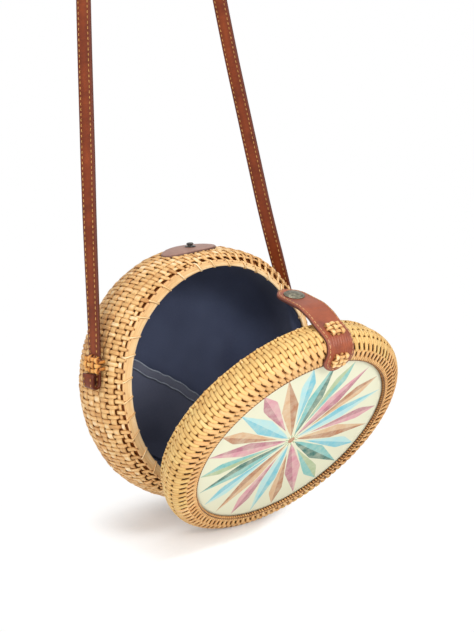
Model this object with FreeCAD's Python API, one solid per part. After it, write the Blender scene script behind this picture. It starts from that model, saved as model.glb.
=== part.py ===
import FreeCAD, Part
import math
import os

V = FreeCAD.Vector
os.makedirs("parts", exist_ok=True)

# Driving sizes in millimetres. The mouth circle is centred on the working zero, its axis along Y.
MAX_RADIUS = 100.0
LIP_SWELL = 4.0
RIM_WIDTH = 8.0
RIM_RADIUS = MAX_RADIUS - LIP_SWELL
MOUTH_RADIUS = RIM_RADIUS - RIM_WIDTH
WALL = 4.0
LINING = 1.0
REAR_DEPTH = 76.0
REAR_BULGE = 36.0
LID_DEPTH = 27.6
LID_BULGE = 16.0
LEATHER = 2.8

# Rim hoops and the lashings wound round them.
RIM_GAP = 0.8
HOOP_DEPTH = 4.0
LASHING_COUNT = 34
LASHING_WIDTH = 2.6
LASHING_THICK = 0.6
SHELL_START = RIM_GAP + HOOP_DEPTH

# Round panel in the lid, behind the inner edge of the woven front ring.
FRONT_RING = 17.7
PANEL_LAP = 2.7
PANEL_THICK = 2.0
PANEL_RECESS = 2.0
PRINT_CLEAR = 0.3
PRINT_THICK = 0.3
PANEL_HOOP_LAP = 3.3
PANEL_HOOP_CLEAR = 0.9
PANEL_HOOP_THICK = 2.5
PANEL_OPENING = MAX_RADIUS - FRONT_RING
PANEL_RADIUS = PANEL_OPENING + PANEL_LAP
PRINT_RADIUS = PANEL_OPENING - PRINT_CLEAR
PANEL_HOOP_IN = PANEL_OPENING - PANEL_HOOP_LAP
PANEL_HOOP_OUT = MAX_RADIUS - (LID_DEPTH - LID_BULGE) - PANEL_HOOP_CLEAR

# Cane hinge at the bottom: a rod held by two loops on each half.
HINGE_DROP = 0.5
HINGE_Z = -MAX_RADIUS - HINGE_DROP
OPEN_ANGLE = 35.4
ROD_RADIUS = 2.4
ROD_LENGTH = 72.0
RUN_CLEAR = 0.05
LOOP_RADIUS = 3.9
LOOP_WIDTH = 7.0
LOOP_STRIP = 1.6
ROD_OVERHANG = 8.0
REAR_LOOP_X = ROD_LENGTH / 2 - ROD_OVERHANG
LID_LOOP_X = 10.0
REAR_LEG_ANGLE = 45.0
LID_LEG_ANGLE = 30.0
LEG_LENGTH = 24.0

# Leather closing tab, its two flex lines and the snap.
SNAP_ROLL = -4.0
TAB_HALF = 12.4
TAB_LAP = 5.5
TAB_FOOT = PANEL_OPENING - TAB_LAP
TAB_END = -0.2
FLEX_Y = 1.5
ROOT_LENGTH = 10.0
FLAP_REACH = 19.5
ROOT_REST = -6.0
FLAP_REST = -16.0
FLEX_GAP = 0.3
KNOT_WIDTH = 14.0
KNOT_LENGTH = 11.5
KNOT_THICK = 2.4
KNOT_ROUND = 3.0
KNOT_PIN = 1.6
UPPER_KNOT_Y = -14.5
LOWER_KNOT_RISE = 5.3
LOWER_KNOT_Z = PANEL_OPENING + LOWER_KNOT_RISE
CAP_RADIUS = 7.8
CAP_EDGE = 0.8
CAP_HEIGHT = 2.2
CAP_SHANK = 2.0
SOCKET_RADIUS = 5.0
SOCKET_BORE = 3.2
SOCKET_HEIGHT = 2.8

# Snap stud and its leather patch on top of the rear half.
PATCH_HALF_LENGTH = 25.0
PATCH_HALF_WIDTH = 13.0
PATCH_THICK = 1.8
STUD_FLANGE_RADIUS = 4.5
STUD_FLANGE_THICK = 0.6
STUD_POST_RADIUS = 1.8
STUD_POST_HEIGHT = 1.0
STUD_KNOB_RADIUS = 2.6
STUD_KNOB_HEIGHT = 1.6
STUD_SHANK = 1.5
RIVET_RADIUS = 4.6
RIVET_THICK = 1.2
SNAP_CLEAR = 0.2

# With the lid shut the root slopes up until the socket clears the stud's flange, and the flap lies level over the stud.
SNAP_RISE = PATCH_THICK + STUD_FLANGE_THICK + SNAP_CLEAR + SOCKET_HEIGHT
STUD_Y = FLEX_Y + math.sqrt(ROOT_LENGTH ** 2 - SNAP_RISE ** 2) + FLAP_REACH

# Slip pocket on the back of the lining, sewn on a slant.
POCKET_WIDTH = 104.0
POCKET_HEIGHT = 62.0
POCKET_GAP = 6.0
POCKET_DROP = 40.0
POCKET_SLANT = 30.0

# Shoulder strap and the cane knots that hold it.
STRAP_WIDTH = 12.0
STRAP_THICK = 2.8
STRAP_CLEAR = 0.4
ANCHOR_Y = 24.0
ANCHOR_Z = 21.0
TAIL_LENGTH = 17.0
LOOP_BACK = 133.0
LOOP_RISE = 581.0
LOOP_CENTRE = V(0.0, LOOP_BACK, LOOP_RISE)
STRAP_LOOP_RADIUS = 49.0
STRAP_TWIST = 20.0
TWIST_RUN_LEFT = 150.0
TWIST_RUN_RIGHT = 70.0
STRAND_STEPS = 14
STRAND_SPACING_POWER = 1.5
ARC_STEPS = 12
STRAP_KNOT_WIDTH = 20.0
STRAP_KNOT_HEIGHT = 12.0
STRAP_KNOT_THICK = 3.0
STRAP_LEG = 3.0
STRAP_LEG_CLEAR = 0.3
STRAP_PIN = 2.2
STRAP_HEAD_RADIUS = 3.3
STRAP_HEAD_THICK = 1.0
HEAD_CLEAR = 0.15

# Working limits used only to make tools that reach through everything.
FAR = 300.0
X_AXIS = V(1, 0, 0)
Y_AXIS = V(0, 1, 0)
Z_AXIS = V(0, 0, 1)
ZERO = V(0, 0, 0)
HINGE = V(0, 0, HINGE_Z)

solids = {}


def revolve(edges):
    """Turn a closed profile drawn in the XY plane about the Y axis."""
    face = Part.Face(Part.Wire(edges))
    solid = face.revolve(ZERO, Y_AXIS, 360)
    if solid.Volume < 0:
        solid.reverse()
    return solid


def three_point_arc(a, b, c):
    return Part.Arc(a, b, c).toShape()


def line(a, b):
    return Part.makeLine(a, b)


def drum(bulge, depth, side, offset):
    """Filled outline of one half of the bag, grown by offset; side is 1 for the rear and -1 for the lid."""
    run = bulge - SHELL_START
    lip = (run ** 2 + LIP_SWELL ** 2) / (2 * LIP_SWELL)
    corner = depth - bulge
    half_angle = math.asin(run / lip) / 2
    lip_centre = MAX_RADIUS + offset - lip
    corner_centre = MAX_RADIUS - corner
    corner_mid = (corner + offset) * math.cos(math.pi / 4)
    start = V(RIM_RADIUS + offset, side * SHELL_START, 0)
    mid = V(lip_centre + lip * math.cos(half_angle), side * (bulge - lip * math.sin(half_angle)), 0)
    crest = V(MAX_RADIUS + offset, side * bulge, 0)
    bend = V(corner_centre + corner_mid, side * (bulge + corner_mid), 0)
    end = V(corner_centre, side * (depth + offset), 0)
    axis_end = V(0, side * (depth + offset), 0)
    axis_start = V(0, side * SHELL_START, 0)
    edges = [three_point_arc(start, mid, crest), three_point_arc(crest, bend, end), line(end, axis_end)]
    edges += [line(axis_end, axis_start), line(axis_start, start)]
    return revolve(edges)


def rear_drum(offset):
    return drum(REAR_BULGE, REAR_DEPTH, 1, offset)


def lid_drum(offset):
    return drum(LID_BULGE, LID_DEPTH, -1, offset)


def disc(radius, y_low, y_high):
    return Part.makeCylinder(radius, y_high - y_low, V(0, y_low, 0), Y_AXIS)


def ring(inner, outer, y_low, y_high):
    return disc(outer, y_low, y_high).cut(disc(inner, y_low, y_high))


def block(x_low, x_high, y_low, y_high, z_low, z_high):
    return Part.makeBox(x_high - x_low, y_high - y_low, z_high - z_low, V(x_low, y_low, z_low))


def turned(shape, centre, axis, angle):
    copy = shape.copy()
    copy.rotate(centre, axis, angle)
    return copy


def rolled(shape):
    """The shape turned about the drum's axis, to where the snap and its tab sit."""
    return turned(shape, ZERO, Y_AXIS, SNAP_ROLL)


def mirrored_x(shape):
    return shape.mirror(ZERO, X_AXIS)


def one_solid(shape):
    """The largest solid in a shape."""
    return max(shape.Solids, key=lambda s: s.Volume)


def lashing_group(side):
    """Cane lashings bent over the rim hoop, one solid each."""
    half = LASHING_WIDTH / 2
    low = RIM_GAP - LASHING_THICK
    outer = block(-half, half, low, SHELL_START, MOUTH_RADIUS - LASHING_THICK, RIM_RADIUS + LASHING_THICK)
    core = ring(MOUTH_RADIUS, RIM_RADIUS, RIM_GAP, SHELL_START)
    bridge = outer.cut(core)
    if side < 0:
        bridge = bridge.mirror(ZERO, Y_AXIS)
    pitch = 360.0 / LASHING_COUNT
    pieces = [turned(bridge, ZERO, Y_AXIS, (index + 0.5) * pitch) for index in range(LASHING_COUNT)]
    return Part.makeCompound([one_solid(piece) for piece in pieces])


def hinge_loop(x_centre, leg_angle, side, hollow):
    """Cane strip wound round the hinge rod, with its tail let into the wall of one half."""
    low = x_centre - LOOP_WIDTH / 2
    eye = Part.makeCylinder(LOOP_RADIUS, LOOP_WIDTH, V(low, 0, HINGE_Z), X_AXIS)
    half = LOOP_STRIP / 2
    leg = block(low, low + LOOP_WIDTH, 0, LEG_LENGTH, HINGE_Z - half, HINGE_Z + half)
    leg = turned(leg, HINGE, X_AXIS, leg_angle)
    if side < 0:
        leg = leg.mirror(ZERO, Y_AXIS)
    bore = Part.makeCylinder(ROD_RADIUS + RUN_CLEAR, FAR, V(-FAR / 2, 0, HINGE_Z), X_AXIS)
    return one_solid(eye.fuse(leg).cut(bore).cut(hollow).removeSplitter())


# Rear half: woven shell, rim and lining.
rear_hollow = rear_drum(-WALL)
rear_shell = rear_drum(0).cut(rear_hollow)
rear_room = rear_drum(-WALL - LINING)
solids["rear_lining"] = rear_hollow.cut(rear_room)
solids["rear_rim_hoop"] = ring(MOUTH_RADIUS, RIM_RADIUS, RIM_GAP, SHELL_START)
solids["rear_rim_lashing"] = lashing_group(1)

# Slip pocket, trimmed to the inside of the lining.
pocket_back = REAR_DEPTH - WALL - LINING
pocket_front = pocket_back - POCKET_GAP - LINING
pocket_half = POCKET_WIDTH / 2
pocket_low = -POCKET_DROP - POCKET_HEIGHT / 2
pocket_high = pocket_low + POCKET_HEIGHT
pocket = block(-pocket_half, pocket_half, pocket_front, pocket_back, pocket_low, pocket_high)
pocket_inside = block(-pocket_half + LINING, pocket_half - LINING, pocket_front + LINING, pocket_back,
                      pocket_low + LINING, pocket_high)
pocket = pocket.cut(pocket_inside)
pocket = turned(pocket, ZERO, Y_AXIS, POCKET_SLANT)
solids["lining_pocket"] = one_solid(pocket.common(rear_room))

# Snap stud, its patch and the rivet inside the wall.
patch_centre = V(0, STUD_Y, 0)
patch_outline = Part.Ellipse(V(PATCH_HALF_LENGTH, STUD_Y, 0), V(0, STUD_Y + PATCH_HALF_WIDTH, 0), patch_centre)
patch_tool = Part.Face(Part.Wire([patch_outline.toShape()])).extrude(V(0, 0, FAR))
patch = rolled(rear_drum(PATCH_THICK).cut(rear_drum(0)).common(patch_tool))
patch_top = MAX_RADIUS + PATCH_THICK
shank_low = MAX_RADIUS - WALL
stud_levels = [(STUD_SHANK, shank_low, patch_top)]
stud_levels += [(STUD_FLANGE_RADIUS, patch_top, patch_top + STUD_FLANGE_THICK)]
post_low = patch_top + STUD_FLANGE_THICK
knob_low = post_low + STUD_POST_HEIGHT
stud_levels += [(STUD_POST_RADIUS, post_low, knob_low)]
stud_levels += [(STUD_KNOB_RADIUS, knob_low, knob_low + STUD_KNOB_HEIGHT)]
stud = None
for radius, low, high in stud_levels:
    level = Part.makeCylinder(radius, high - low, V(0, STUD_Y, low), Z_AXIS)
    stud = level if stud is None else stud.fuse(level)
solids["snap_stud"] = rolled(stud.removeSplitter())
stud_hole = rolled(Part.makeCylinder(STUD_SHANK, FAR, V(0, STUD_Y, 0), Z_AXIS))
rivet_seat = rolled(Part.makeCylinder(RIVET_RADIUS, shank_low + RIVET_THICK, V(0, STUD_Y, 0), Z_AXIS))
rivet = rivet_seat.cut(stud_hole).cut(rear_hollow)
solids["stud_rivet"] = one_solid(rivet.common(rear_shell))
solids["stud_patch"] = one_solid(patch.cut(stud_hole))
rear_shell = rear_shell.cut(stud_hole).cut(rivet_seat)

# Cane hinge loops on the rear half, and the rod.
solids["hinge_rod"] = Part.makeCylinder(ROD_RADIUS, ROD_LENGTH, V(-ROD_LENGTH / 2, 0, HINGE_Z), X_AXIS)
rear_loop = hinge_loop(REAR_LOOP_X, REAR_LEG_ANGLE, 1, rear_hollow)
solids["rear_hinge_loop_right"] = rear_loop
solids["rear_hinge_loop_left"] = mirrored_x(rear_loop)
rear_shell = rear_shell.cut(solids["rear_hinge_loop_right"]).cut(solids["rear_hinge_loop_left"])

# Holes and seats for the strap knots in the side walls.
pin_hole = Part.makeCylinder(STRAP_PIN + RUN_CLEAR, FAR, V(-FAR / 2, ANCHOR_Y, ANCHOR_Z), X_AXIS)
wall_at_anchor = math.sqrt((MAX_RADIUS - WALL) ** 2 - (ANCHOR_Z - STRAP_HEAD_RADIUS) ** 2)
head_seat = wall_at_anchor + STRAP_HEAD_THICK + HEAD_CLEAR
seat_radius = STRAP_HEAD_RADIUS + HEAD_CLEAR
head_room = Part.makeCylinder(seat_radius, 2 * head_seat, V(-head_seat, ANCHOR_Y, ANCHOR_Z), X_AXIS)
solids["rear_shell"] = one_solid(rear_shell.cut(pin_hole).cut(head_room))

# Lid: woven ring, panel, lining and rim, drawn shut.
lid_hollow = lid_drum(-WALL)
lid_shell = lid_drum(0).cut(lid_hollow)
panel_front = -LID_DEPTH + PANEL_RECESS
panel_back = panel_front + PANEL_THICK
lid_shell = lid_shell.cut(disc(PANEL_OPENING, -LID_DEPTH - WALL, 0))
lid_shell = lid_shell.cut(disc(PANEL_RADIUS, panel_front, 0))
panel = disc(PANEL_RADIUS, panel_front, panel_back)
solids["panel_print"] = disc(PRINT_RADIUS, panel_front - PRINT_THICK, panel_front)
hoop_back = panel_back + PANEL_HOOP_THICK
panel_hoop = ring(PANEL_HOOP_IN, PANEL_HOOP_OUT, panel_back, hoop_back)
lining_outer = lid_hollow.common(disc(FAR, hoop_back, 0))
lining_inner = lid_drum(-WALL - LINING).common(disc(FAR, hoop_back + LINING, 0))
solids["lid_lining"] = lining_outer.cut(lining_inner)
solids["lid_rim_hoop"] = ring(MOUTH_RADIUS, RIM_RADIUS, -SHELL_START, -RIM_GAP)
solids["lid_rim_lashing"] = lashing_group(-1)
lid_loop = hinge_loop(LID_LOOP_X, LID_LEG_ANGLE, -1, lid_hollow)
solids["lid_hinge_loop_right"] = lid_loop
solids["lid_hinge_loop_left"] = mirrored_x(lid_loop)
lid_shell = lid_shell.cut(solids["lid_hinge_loop_right"]).cut(solids["lid_hinge_loop_left"])

# Fixed part of the leather tab: over the front edge of the lid and straight off its crest.
tab_skin = lid_drum(LEATHER).cut(lid_drum(0)).common(disc(FAR, -FAR, -LID_BULGE))
tab_skin = tab_skin.fuse(ring(MAX_RADIUS, MAX_RADIUS + LEATHER, -LID_BULGE, TAB_END))
tab_outline = block(-TAB_HALF, TAB_HALF, -FAR, FAR, TAB_FOOT + TAB_HALF, FAR)
tab_outline = tab_outline.fuse(Part.makeCylinder(TAB_HALF, 2 * FAR, V(0, -FAR, TAB_FOOT + TAB_HALF), Y_AXIS))
tab = rolled(one_solid(tab_skin.common(tab_outline).removeSplitter()))

# Cane knots that hold the tab to the lid.
tab_face = MAX_RADIUS + LEATHER
tab_front = -LID_DEPTH - LEATHER
knot_half = KNOT_WIDTH / 2
knot_reach = KNOT_LENGTH / 2
upper_pad = block(-knot_half, knot_half, UPPER_KNOT_Y - knot_reach, UPPER_KNOT_Y + knot_reach,
                  tab_face, tab_face + KNOT_THICK)
upper_pad = upper_pad.makeFillet(KNOT_ROUND, [e for e in upper_pad.Edges if e.BoundBox.ZLength > KNOT_THICK / 2])
upper_pin = Part.makeCylinder(KNOT_PIN, tab_face, V(0, UPPER_KNOT_Y, 0), Z_AXIS)
upper_pin = upper_pin.cut(lid_hollow)
upper_pin = rolled(max(upper_pin.Solids, key=lambda s: s.BoundBox.ZMax))
solids["tab_knot_upper"] = rolled(upper_pad).fuse(upper_pin).removeSplitter()
lower_pad = block(-knot_half, knot_half, tab_front - KNOT_THICK, tab_front,
                  LOWER_KNOT_Z - knot_reach, LOWER_KNOT_Z + knot_reach)
lower_pad = lower_pad.makeFillet(KNOT_ROUND, [e for e in lower_pad.Edges if e.BoundBox.YLength > KNOT_THICK / 2])
lower_pin = rolled(Part.makeCylinder(KNOT_PIN, hoop_back - tab_front, V(0, tab_front, LOWER_KNOT_Z), Y_AXIS))
solids["tab_knot_lower"] = rolled(lower_pad).fuse(lower_pin).removeSplitter()
solids["closure_tab"] = one_solid(tab.cut(upper_pin).cut(lower_pin))
solids["front_panel"] = one_solid(panel.cut(lower_pin))
solids["panel_hoop"] = one_solid(panel_hoop.cut(lower_pin))
solids["lid_shell"] = one_solid(lid_shell.cut(upper_pin).cut(lower_pin))

# Free part of the tab: a short root and the flap with the snap, drawn straight, then set to rest.
half_leather = LEATHER / 2
flex_z = MAX_RADIUS + half_leather
root_flex = V(0, FLEX_Y, flex_z)
flap_flex = V(0, FLEX_Y + ROOT_LENGTH, flex_z)
root_stop = FLEX_Y + ROOT_LENGTH - half_leather - FLEX_GAP
tab_root = block(-TAB_HALF, TAB_HALF, FLEX_Y, root_stop, MAX_RADIUS, MAX_RADIUS + LEATHER)
tab_root = tab_root.fuse(Part.makeCylinder(half_leather, 2 * TAB_HALF, root_flex - V(TAB_HALF, 0, 0), X_AXIS))
tab_root = tab_root.removeSplitter()
cap_y = FLEX_Y + ROOT_LENGTH + FLAP_REACH
tab_flap = block(-TAB_HALF, TAB_HALF, FLEX_Y + ROOT_LENGTH, cap_y, MAX_RADIUS, MAX_RADIUS + LEATHER)
tab_flap = tab_flap.fuse(Part.makeCylinder(half_leather, 2 * TAB_HALF, flap_flex - V(TAB_HALF, 0, 0), X_AXIS))
tab_flap = tab_flap.fuse(Part.makeCylinder(TAB_HALF, LEATHER, V(0, cap_y, MAX_RADIUS), Z_AXIS))
cap_shank = Part.makeCylinder(CAP_SHANK, LEATHER, V(0, cap_y, MAX_RADIUS), Z_AXIS)
tab_flap = tab_flap.removeSplitter().cut(cap_shank)
dome_rise = CAP_HEIGHT - CAP_EDGE
dome_radius = (CAP_RADIUS ** 2 + dome_rise ** 2) / (2 * dome_rise)
dome = Part.makeSphere(dome_radius, V(0, cap_y, tab_face + CAP_HEIGHT - dome_radius))
cap = dome.common(Part.makeCylinder(CAP_RADIUS, CAP_HEIGHT, V(0, cap_y, tab_face), Z_AXIS))
snap_cap = cap.fuse(cap_shank).removeSplitter()
socket_low = MAX_RADIUS - SOCKET_HEIGHT
snap_socket = Part.makeCylinder(SOCKET_RADIUS, SOCKET_HEIGHT, V(0, cap_y, socket_low), Z_AXIS)
snap_socket = snap_socket.cut(Part.makeCylinder(SOCKET_BORE, SOCKET_HEIGHT, V(0, cap_y, socket_low), Z_AXIS))
solids["tab_root"] = rolled(turned(tab_root, root_flex, X_AXIS, ROOT_REST))
for name, shape in (("tab_flap", tab_flap), ("snap_cap", snap_cap), ("snap_socket", snap_socket)):
    bent = turned(shape, flap_flex, X_AXIS, FLAP_REST)
    solids[name] = rolled(turned(bent, root_flex, X_AXIS, ROOT_REST))

# Shoulder strap: a flat section carried along both strands and over the loop at the top.
strap_x = MAX_RADIUS + STRAP_CLEAR + STRAP_THICK / 2
anchors = {-1: V(-strap_x, ANCHOR_Y, ANCHOR_Z), 1: V(strap_x, ANCHOR_Y, ANCHOR_Z)}
twist = math.radians(STRAP_TWIST)
across = V(math.cos(twist), math.sin(twist), 0)
rise = LOOP_CENTRE - V(0, ANCHOR_Y, ANCHOR_Z)
rise = rise - across * rise.dot(across)
rise.normalize()
lean_in = math.atan2(strap_x - STRAP_LOOP_RADIUS, (LOOP_CENTRE.z - ANCHOR_Z))


def loop_point(angle):
    """Point on the loop at the top, by its angle from the right-hand side."""
    return LOOP_CENTRE + across * (STRAP_LOOP_RADIUS * math.cos(angle)) + rise * (STRAP_LOOP_RADIUS * math.sin(angle))


def strand(side, run):
    """Points from an anchor up to the loop, each with its twist."""
    top = loop_point(lean_in if side > 0 else math.pi - lean_in)
    foot = anchors[side]
    length = (top - foot).Length
    points = []
    for index in range(STRAND_STEPS + 1):
        part_share = (index / STRAND_STEPS) ** STRAND_SPACING_POWER
        turn = min(1.0, part_share * length / run)
        points.append((foot + (top - foot) * part_share, twist * turn))
    return points


tail_step = V(0, 0, -TAIL_LENGTH)
path = [(anchors[-1] + tail_step, 0.0)] + strand(-1, TWIST_RUN_LEFT)
for index in range(1, ARC_STEPS):
    angle = math.pi - lean_in - (math.pi - 2 * lean_in) * index / ARC_STEPS
    path.append((loop_point(angle), twist))
path += list(reversed(strand(1, TWIST_RUN_RIGHT))) + [(anchors[1] + tail_step, 0.0)]
sections = []
for index, (point, turn) in enumerate(path):
    before = path[max(index - 1, 0)][0]
    after = path[min(index + 1, len(path) - 1)][0]
    along = after - before
    along.normalize()
    flat = V(math.sin(turn), -math.cos(turn), 0)
    flat = flat - along * flat.dot(along)
    flat.normalize()
    proud = along.cross(flat)
    reach = flat * (STRAP_WIDTH / 2)
    depth = proud * (STRAP_THICK / 2)
    corners = [point + reach + depth, point - reach + depth, point - reach - depth, point + reach - depth]
    sections.append(Part.makePolygon(corners + [corners[0]]))
strap = Part.makeLoft(sections, True, True)
solids["shoulder_strap"] = strap.cut(pin_hole)

# Cane knots over the strap ends: a pad, two legs beside the strap and a lashing that turns in the wall.
knot_half = STRAP_KNOT_WIDTH / 2
knot_rise = STRAP_KNOT_HEIGHT / 2
strap_face = MAX_RADIUS + STRAP_CLEAR + STRAP_THICK
pad_face = strap_face + STRAP_LEG_CLEAR
pad = block(pad_face, pad_face + STRAP_KNOT_THICK, ANCHOR_Y - knot_half, ANCHOR_Y + knot_half,
            ANCHOR_Z - knot_rise, ANCHOR_Z + knot_rise)
pad = pad.makeFillet(KNOT_ROUND, [e for e in pad.Edges if e.BoundBox.XLength > STRAP_KNOT_THICK / 2])
leg_in = MAX_RADIUS + STRAP_CLEAR
leg_half = knot_rise - KNOT_ROUND
for side in (-1, 1):
    leg_edge = side * (knot_half - STRAP_LEG / 2)
    leg_low = ANCHOR_Y + leg_edge - STRAP_LEG / 2
    leg = block(leg_in, pad_face, leg_low, leg_low + STRAP_LEG, ANCHOR_Z - leg_half, ANCHOR_Z + leg_half)
    pad = pad.fuse(leg)
pin = Part.makeCylinder(STRAP_PIN, pad_face - wall_at_anchor, V(wall_at_anchor, ANCHOR_Y, ANCHOR_Z), X_AXIS)
head = Part.makeCylinder(STRAP_HEAD_RADIUS, STRAP_HEAD_THICK, V(wall_at_anchor, ANCHOR_Y, ANCHOR_Z), X_AXIS)
strap_knot = pad.fuse(pin).fuse(head).removeSplitter()
solids["strap_knot_right"] = strap_knot
solids["strap_knot_left"] = mirrored_x(strap_knot)

# The lid and all it carries stand open at rest; then everything moves to the loop's centre.
LID_NODES = ("lid_shell", "lid_rim_hoop", "lid_rim_lashing", "lid_lining", "front_panel", "panel_print", "panel_hoop",
             "closure_tab", "tab_knot_upper", "tab_knot_lower", "lid_hinge_loop_right", "lid_hinge_loop_left",
             "tab_root", "tab_flap", "snap_cap", "snap_socket")
for name, shape in solids.items():
    placed = turned(shape, HINGE, X_AXIS, OPEN_ANGLE) if name in LID_NODES else shape.copy()
    placed.translate(LOOP_CENTRE * -1)
    placed.exportStep("parts/" + name + ".step")
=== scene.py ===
"""Looks of a round woven cane bag: woven shells, rims, leather, lining, print, light and camera."""
import math
import random

import bmesh
import bpy
import numpy as np
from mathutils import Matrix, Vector


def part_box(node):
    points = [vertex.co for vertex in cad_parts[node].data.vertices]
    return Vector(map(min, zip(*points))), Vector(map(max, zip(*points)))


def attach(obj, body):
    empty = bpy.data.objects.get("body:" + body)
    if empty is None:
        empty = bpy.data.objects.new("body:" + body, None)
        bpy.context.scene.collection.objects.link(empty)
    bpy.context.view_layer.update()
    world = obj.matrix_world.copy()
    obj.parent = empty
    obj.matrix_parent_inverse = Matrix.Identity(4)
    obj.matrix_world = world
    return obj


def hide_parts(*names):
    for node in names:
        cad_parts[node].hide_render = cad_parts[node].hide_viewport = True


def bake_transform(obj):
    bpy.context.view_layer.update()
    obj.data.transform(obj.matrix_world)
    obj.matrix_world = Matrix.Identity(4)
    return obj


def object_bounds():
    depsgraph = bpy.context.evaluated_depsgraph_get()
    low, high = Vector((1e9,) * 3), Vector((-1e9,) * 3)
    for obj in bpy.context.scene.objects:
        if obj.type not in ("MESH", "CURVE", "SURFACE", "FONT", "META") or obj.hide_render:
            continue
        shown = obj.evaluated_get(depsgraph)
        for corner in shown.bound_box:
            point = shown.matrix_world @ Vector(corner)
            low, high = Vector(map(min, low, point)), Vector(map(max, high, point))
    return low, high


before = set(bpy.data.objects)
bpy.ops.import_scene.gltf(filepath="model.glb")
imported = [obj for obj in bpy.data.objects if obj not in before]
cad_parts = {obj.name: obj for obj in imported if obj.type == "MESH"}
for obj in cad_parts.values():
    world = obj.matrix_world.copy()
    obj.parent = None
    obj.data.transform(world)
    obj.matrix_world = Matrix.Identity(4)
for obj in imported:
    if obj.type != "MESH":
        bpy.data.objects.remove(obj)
cad_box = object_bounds()
rng = random.Random(11)
TAU = 2 * math.pi

# Sizes in millimetres, as in the part. The mouth's centre is zero, -Y is the front and Z is up.
MM = 0.001
MAX_RADIUS, RIM_RADIUS, MOUTH_RADIUS = 100.0, 96.0, 88.0
WALL, RIM_GAP, SHELL_START, LIP_LIFT = 4.0, 0.8, 4.8, 0.3
REAR_BULGE, REAR_DEPTH = 36.0, 76.0
LID_BULGE, LID_DEPTH = 16.0, 27.6
PANEL_OPENING = 82.3
PRINT_RADIUS, PRINT_FRONT, PRINT_BACK = 82.0, -25.9, -25.6
HINGE_Z = -100.5
OPEN_ANGLE = math.radians(35.4)
LEATHER = 2.8
SNAP_ROLL = math.radians(-4)
TAB_HALF, TAB_FOOT = 12.4, 76.8
FLEX_Y, ROOT_LENGTH, FLAP_REACH = 1.5, 10.0, 19.5
ROOT_REST, FLAP_REST = math.radians(-6), math.radians(-16)
STRAP_WIDTH, STRAP_THICK = 12.8, 2.5
STRAP_X, ANCHOR_Y, ANCHOR_Z = 101.8, 24.0, 21.0
LOOP_CENTRE, LOOP_RADIUS = np.array([0.0, 133.0, 581.0]), 49.0
STRAP_TWIST = math.radians(20)

# The mouth's centre in the row frame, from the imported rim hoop.
hoop_low, hoop_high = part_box("rear_rim_hoop")
MOUTH_CENTRE = np.array([(hoop_low.x + hoop_high.x) / 2, hoop_low.y - RIM_GAP * MM,
                         (hoop_low.z + hoop_high.z) / 2])
LID_BODIES = ("lid", "root", "flap")


def spun(points, axes, angle, centre=0.0):
    """Points turned from one axis towards another, about a centre on the second."""
    points = np.array(points, float)
    u, v = points[..., axes[0]].copy(), points[..., axes[1]] - centre
    points[..., axes[0]] = u * math.cos(angle) - v * math.sin(angle)
    points[..., axes[1]] = centre + u * math.sin(angle) + v * math.cos(angle)
    return points


def in_row(points, on_lid, on_snap):
    """Points in metres in the row frame, given with the lid shut and the snap upright."""
    if on_snap:
        points = spun(points, (0, 2), -SNAP_ROLL)
    if on_lid:
        points = spun(points, (1, 2), OPEN_ANGLE, HINGE_Z)
    return np.array(points, float) * MM + MOUTH_CENTRE


def xyz(x, y, z):
    """Points from their three coordinates, each an array or one value."""
    return np.stack(np.broadcast_arrays(x, y, z), -1)


def round_axis(radius, depth, angle):
    """Points round the drum's axis. The angle runs from the top towards +X."""
    return xyz(radius * np.sin(angle), depth, radius * np.cos(angle))


def turns_of(count):
    """Angles evenly spaced round a circle."""
    return np.arange(count) * TAU / count


def smooth(x):
    """Smooth step from 0 to 1."""
    x = np.clip(x, 0.0, 1.0)
    return x * x * (3 - 2 * x)


def step(x, start, width):
    """Smooth step from 0 at the start to 1 at the end of a width."""
    return smooth((x - start) / width)


def unit(vectors):
    return vectors / np.maximum(np.linalg.norm(vectors, axis=-1, keepdims=True), 1e-9)


def run_along(path):
    """Distance from the start of a path at each of its points."""
    return np.concatenate([[0], np.cumsum(np.linalg.norm(np.diff(path, axis=0), axis=1))])


def paint(text):
    """A colour written as six hexadecimal digits, as the shader's own linear values."""
    shares = [int(text[i:i + 2], 16) / 255 for i in (0, 2, 4)]
    return tuple(s / 12.92 if s <= 0.04045 else ((s + 0.055) / 1.055) ** 2.4 for s in shares) + (1.0,)


# Materials

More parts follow.
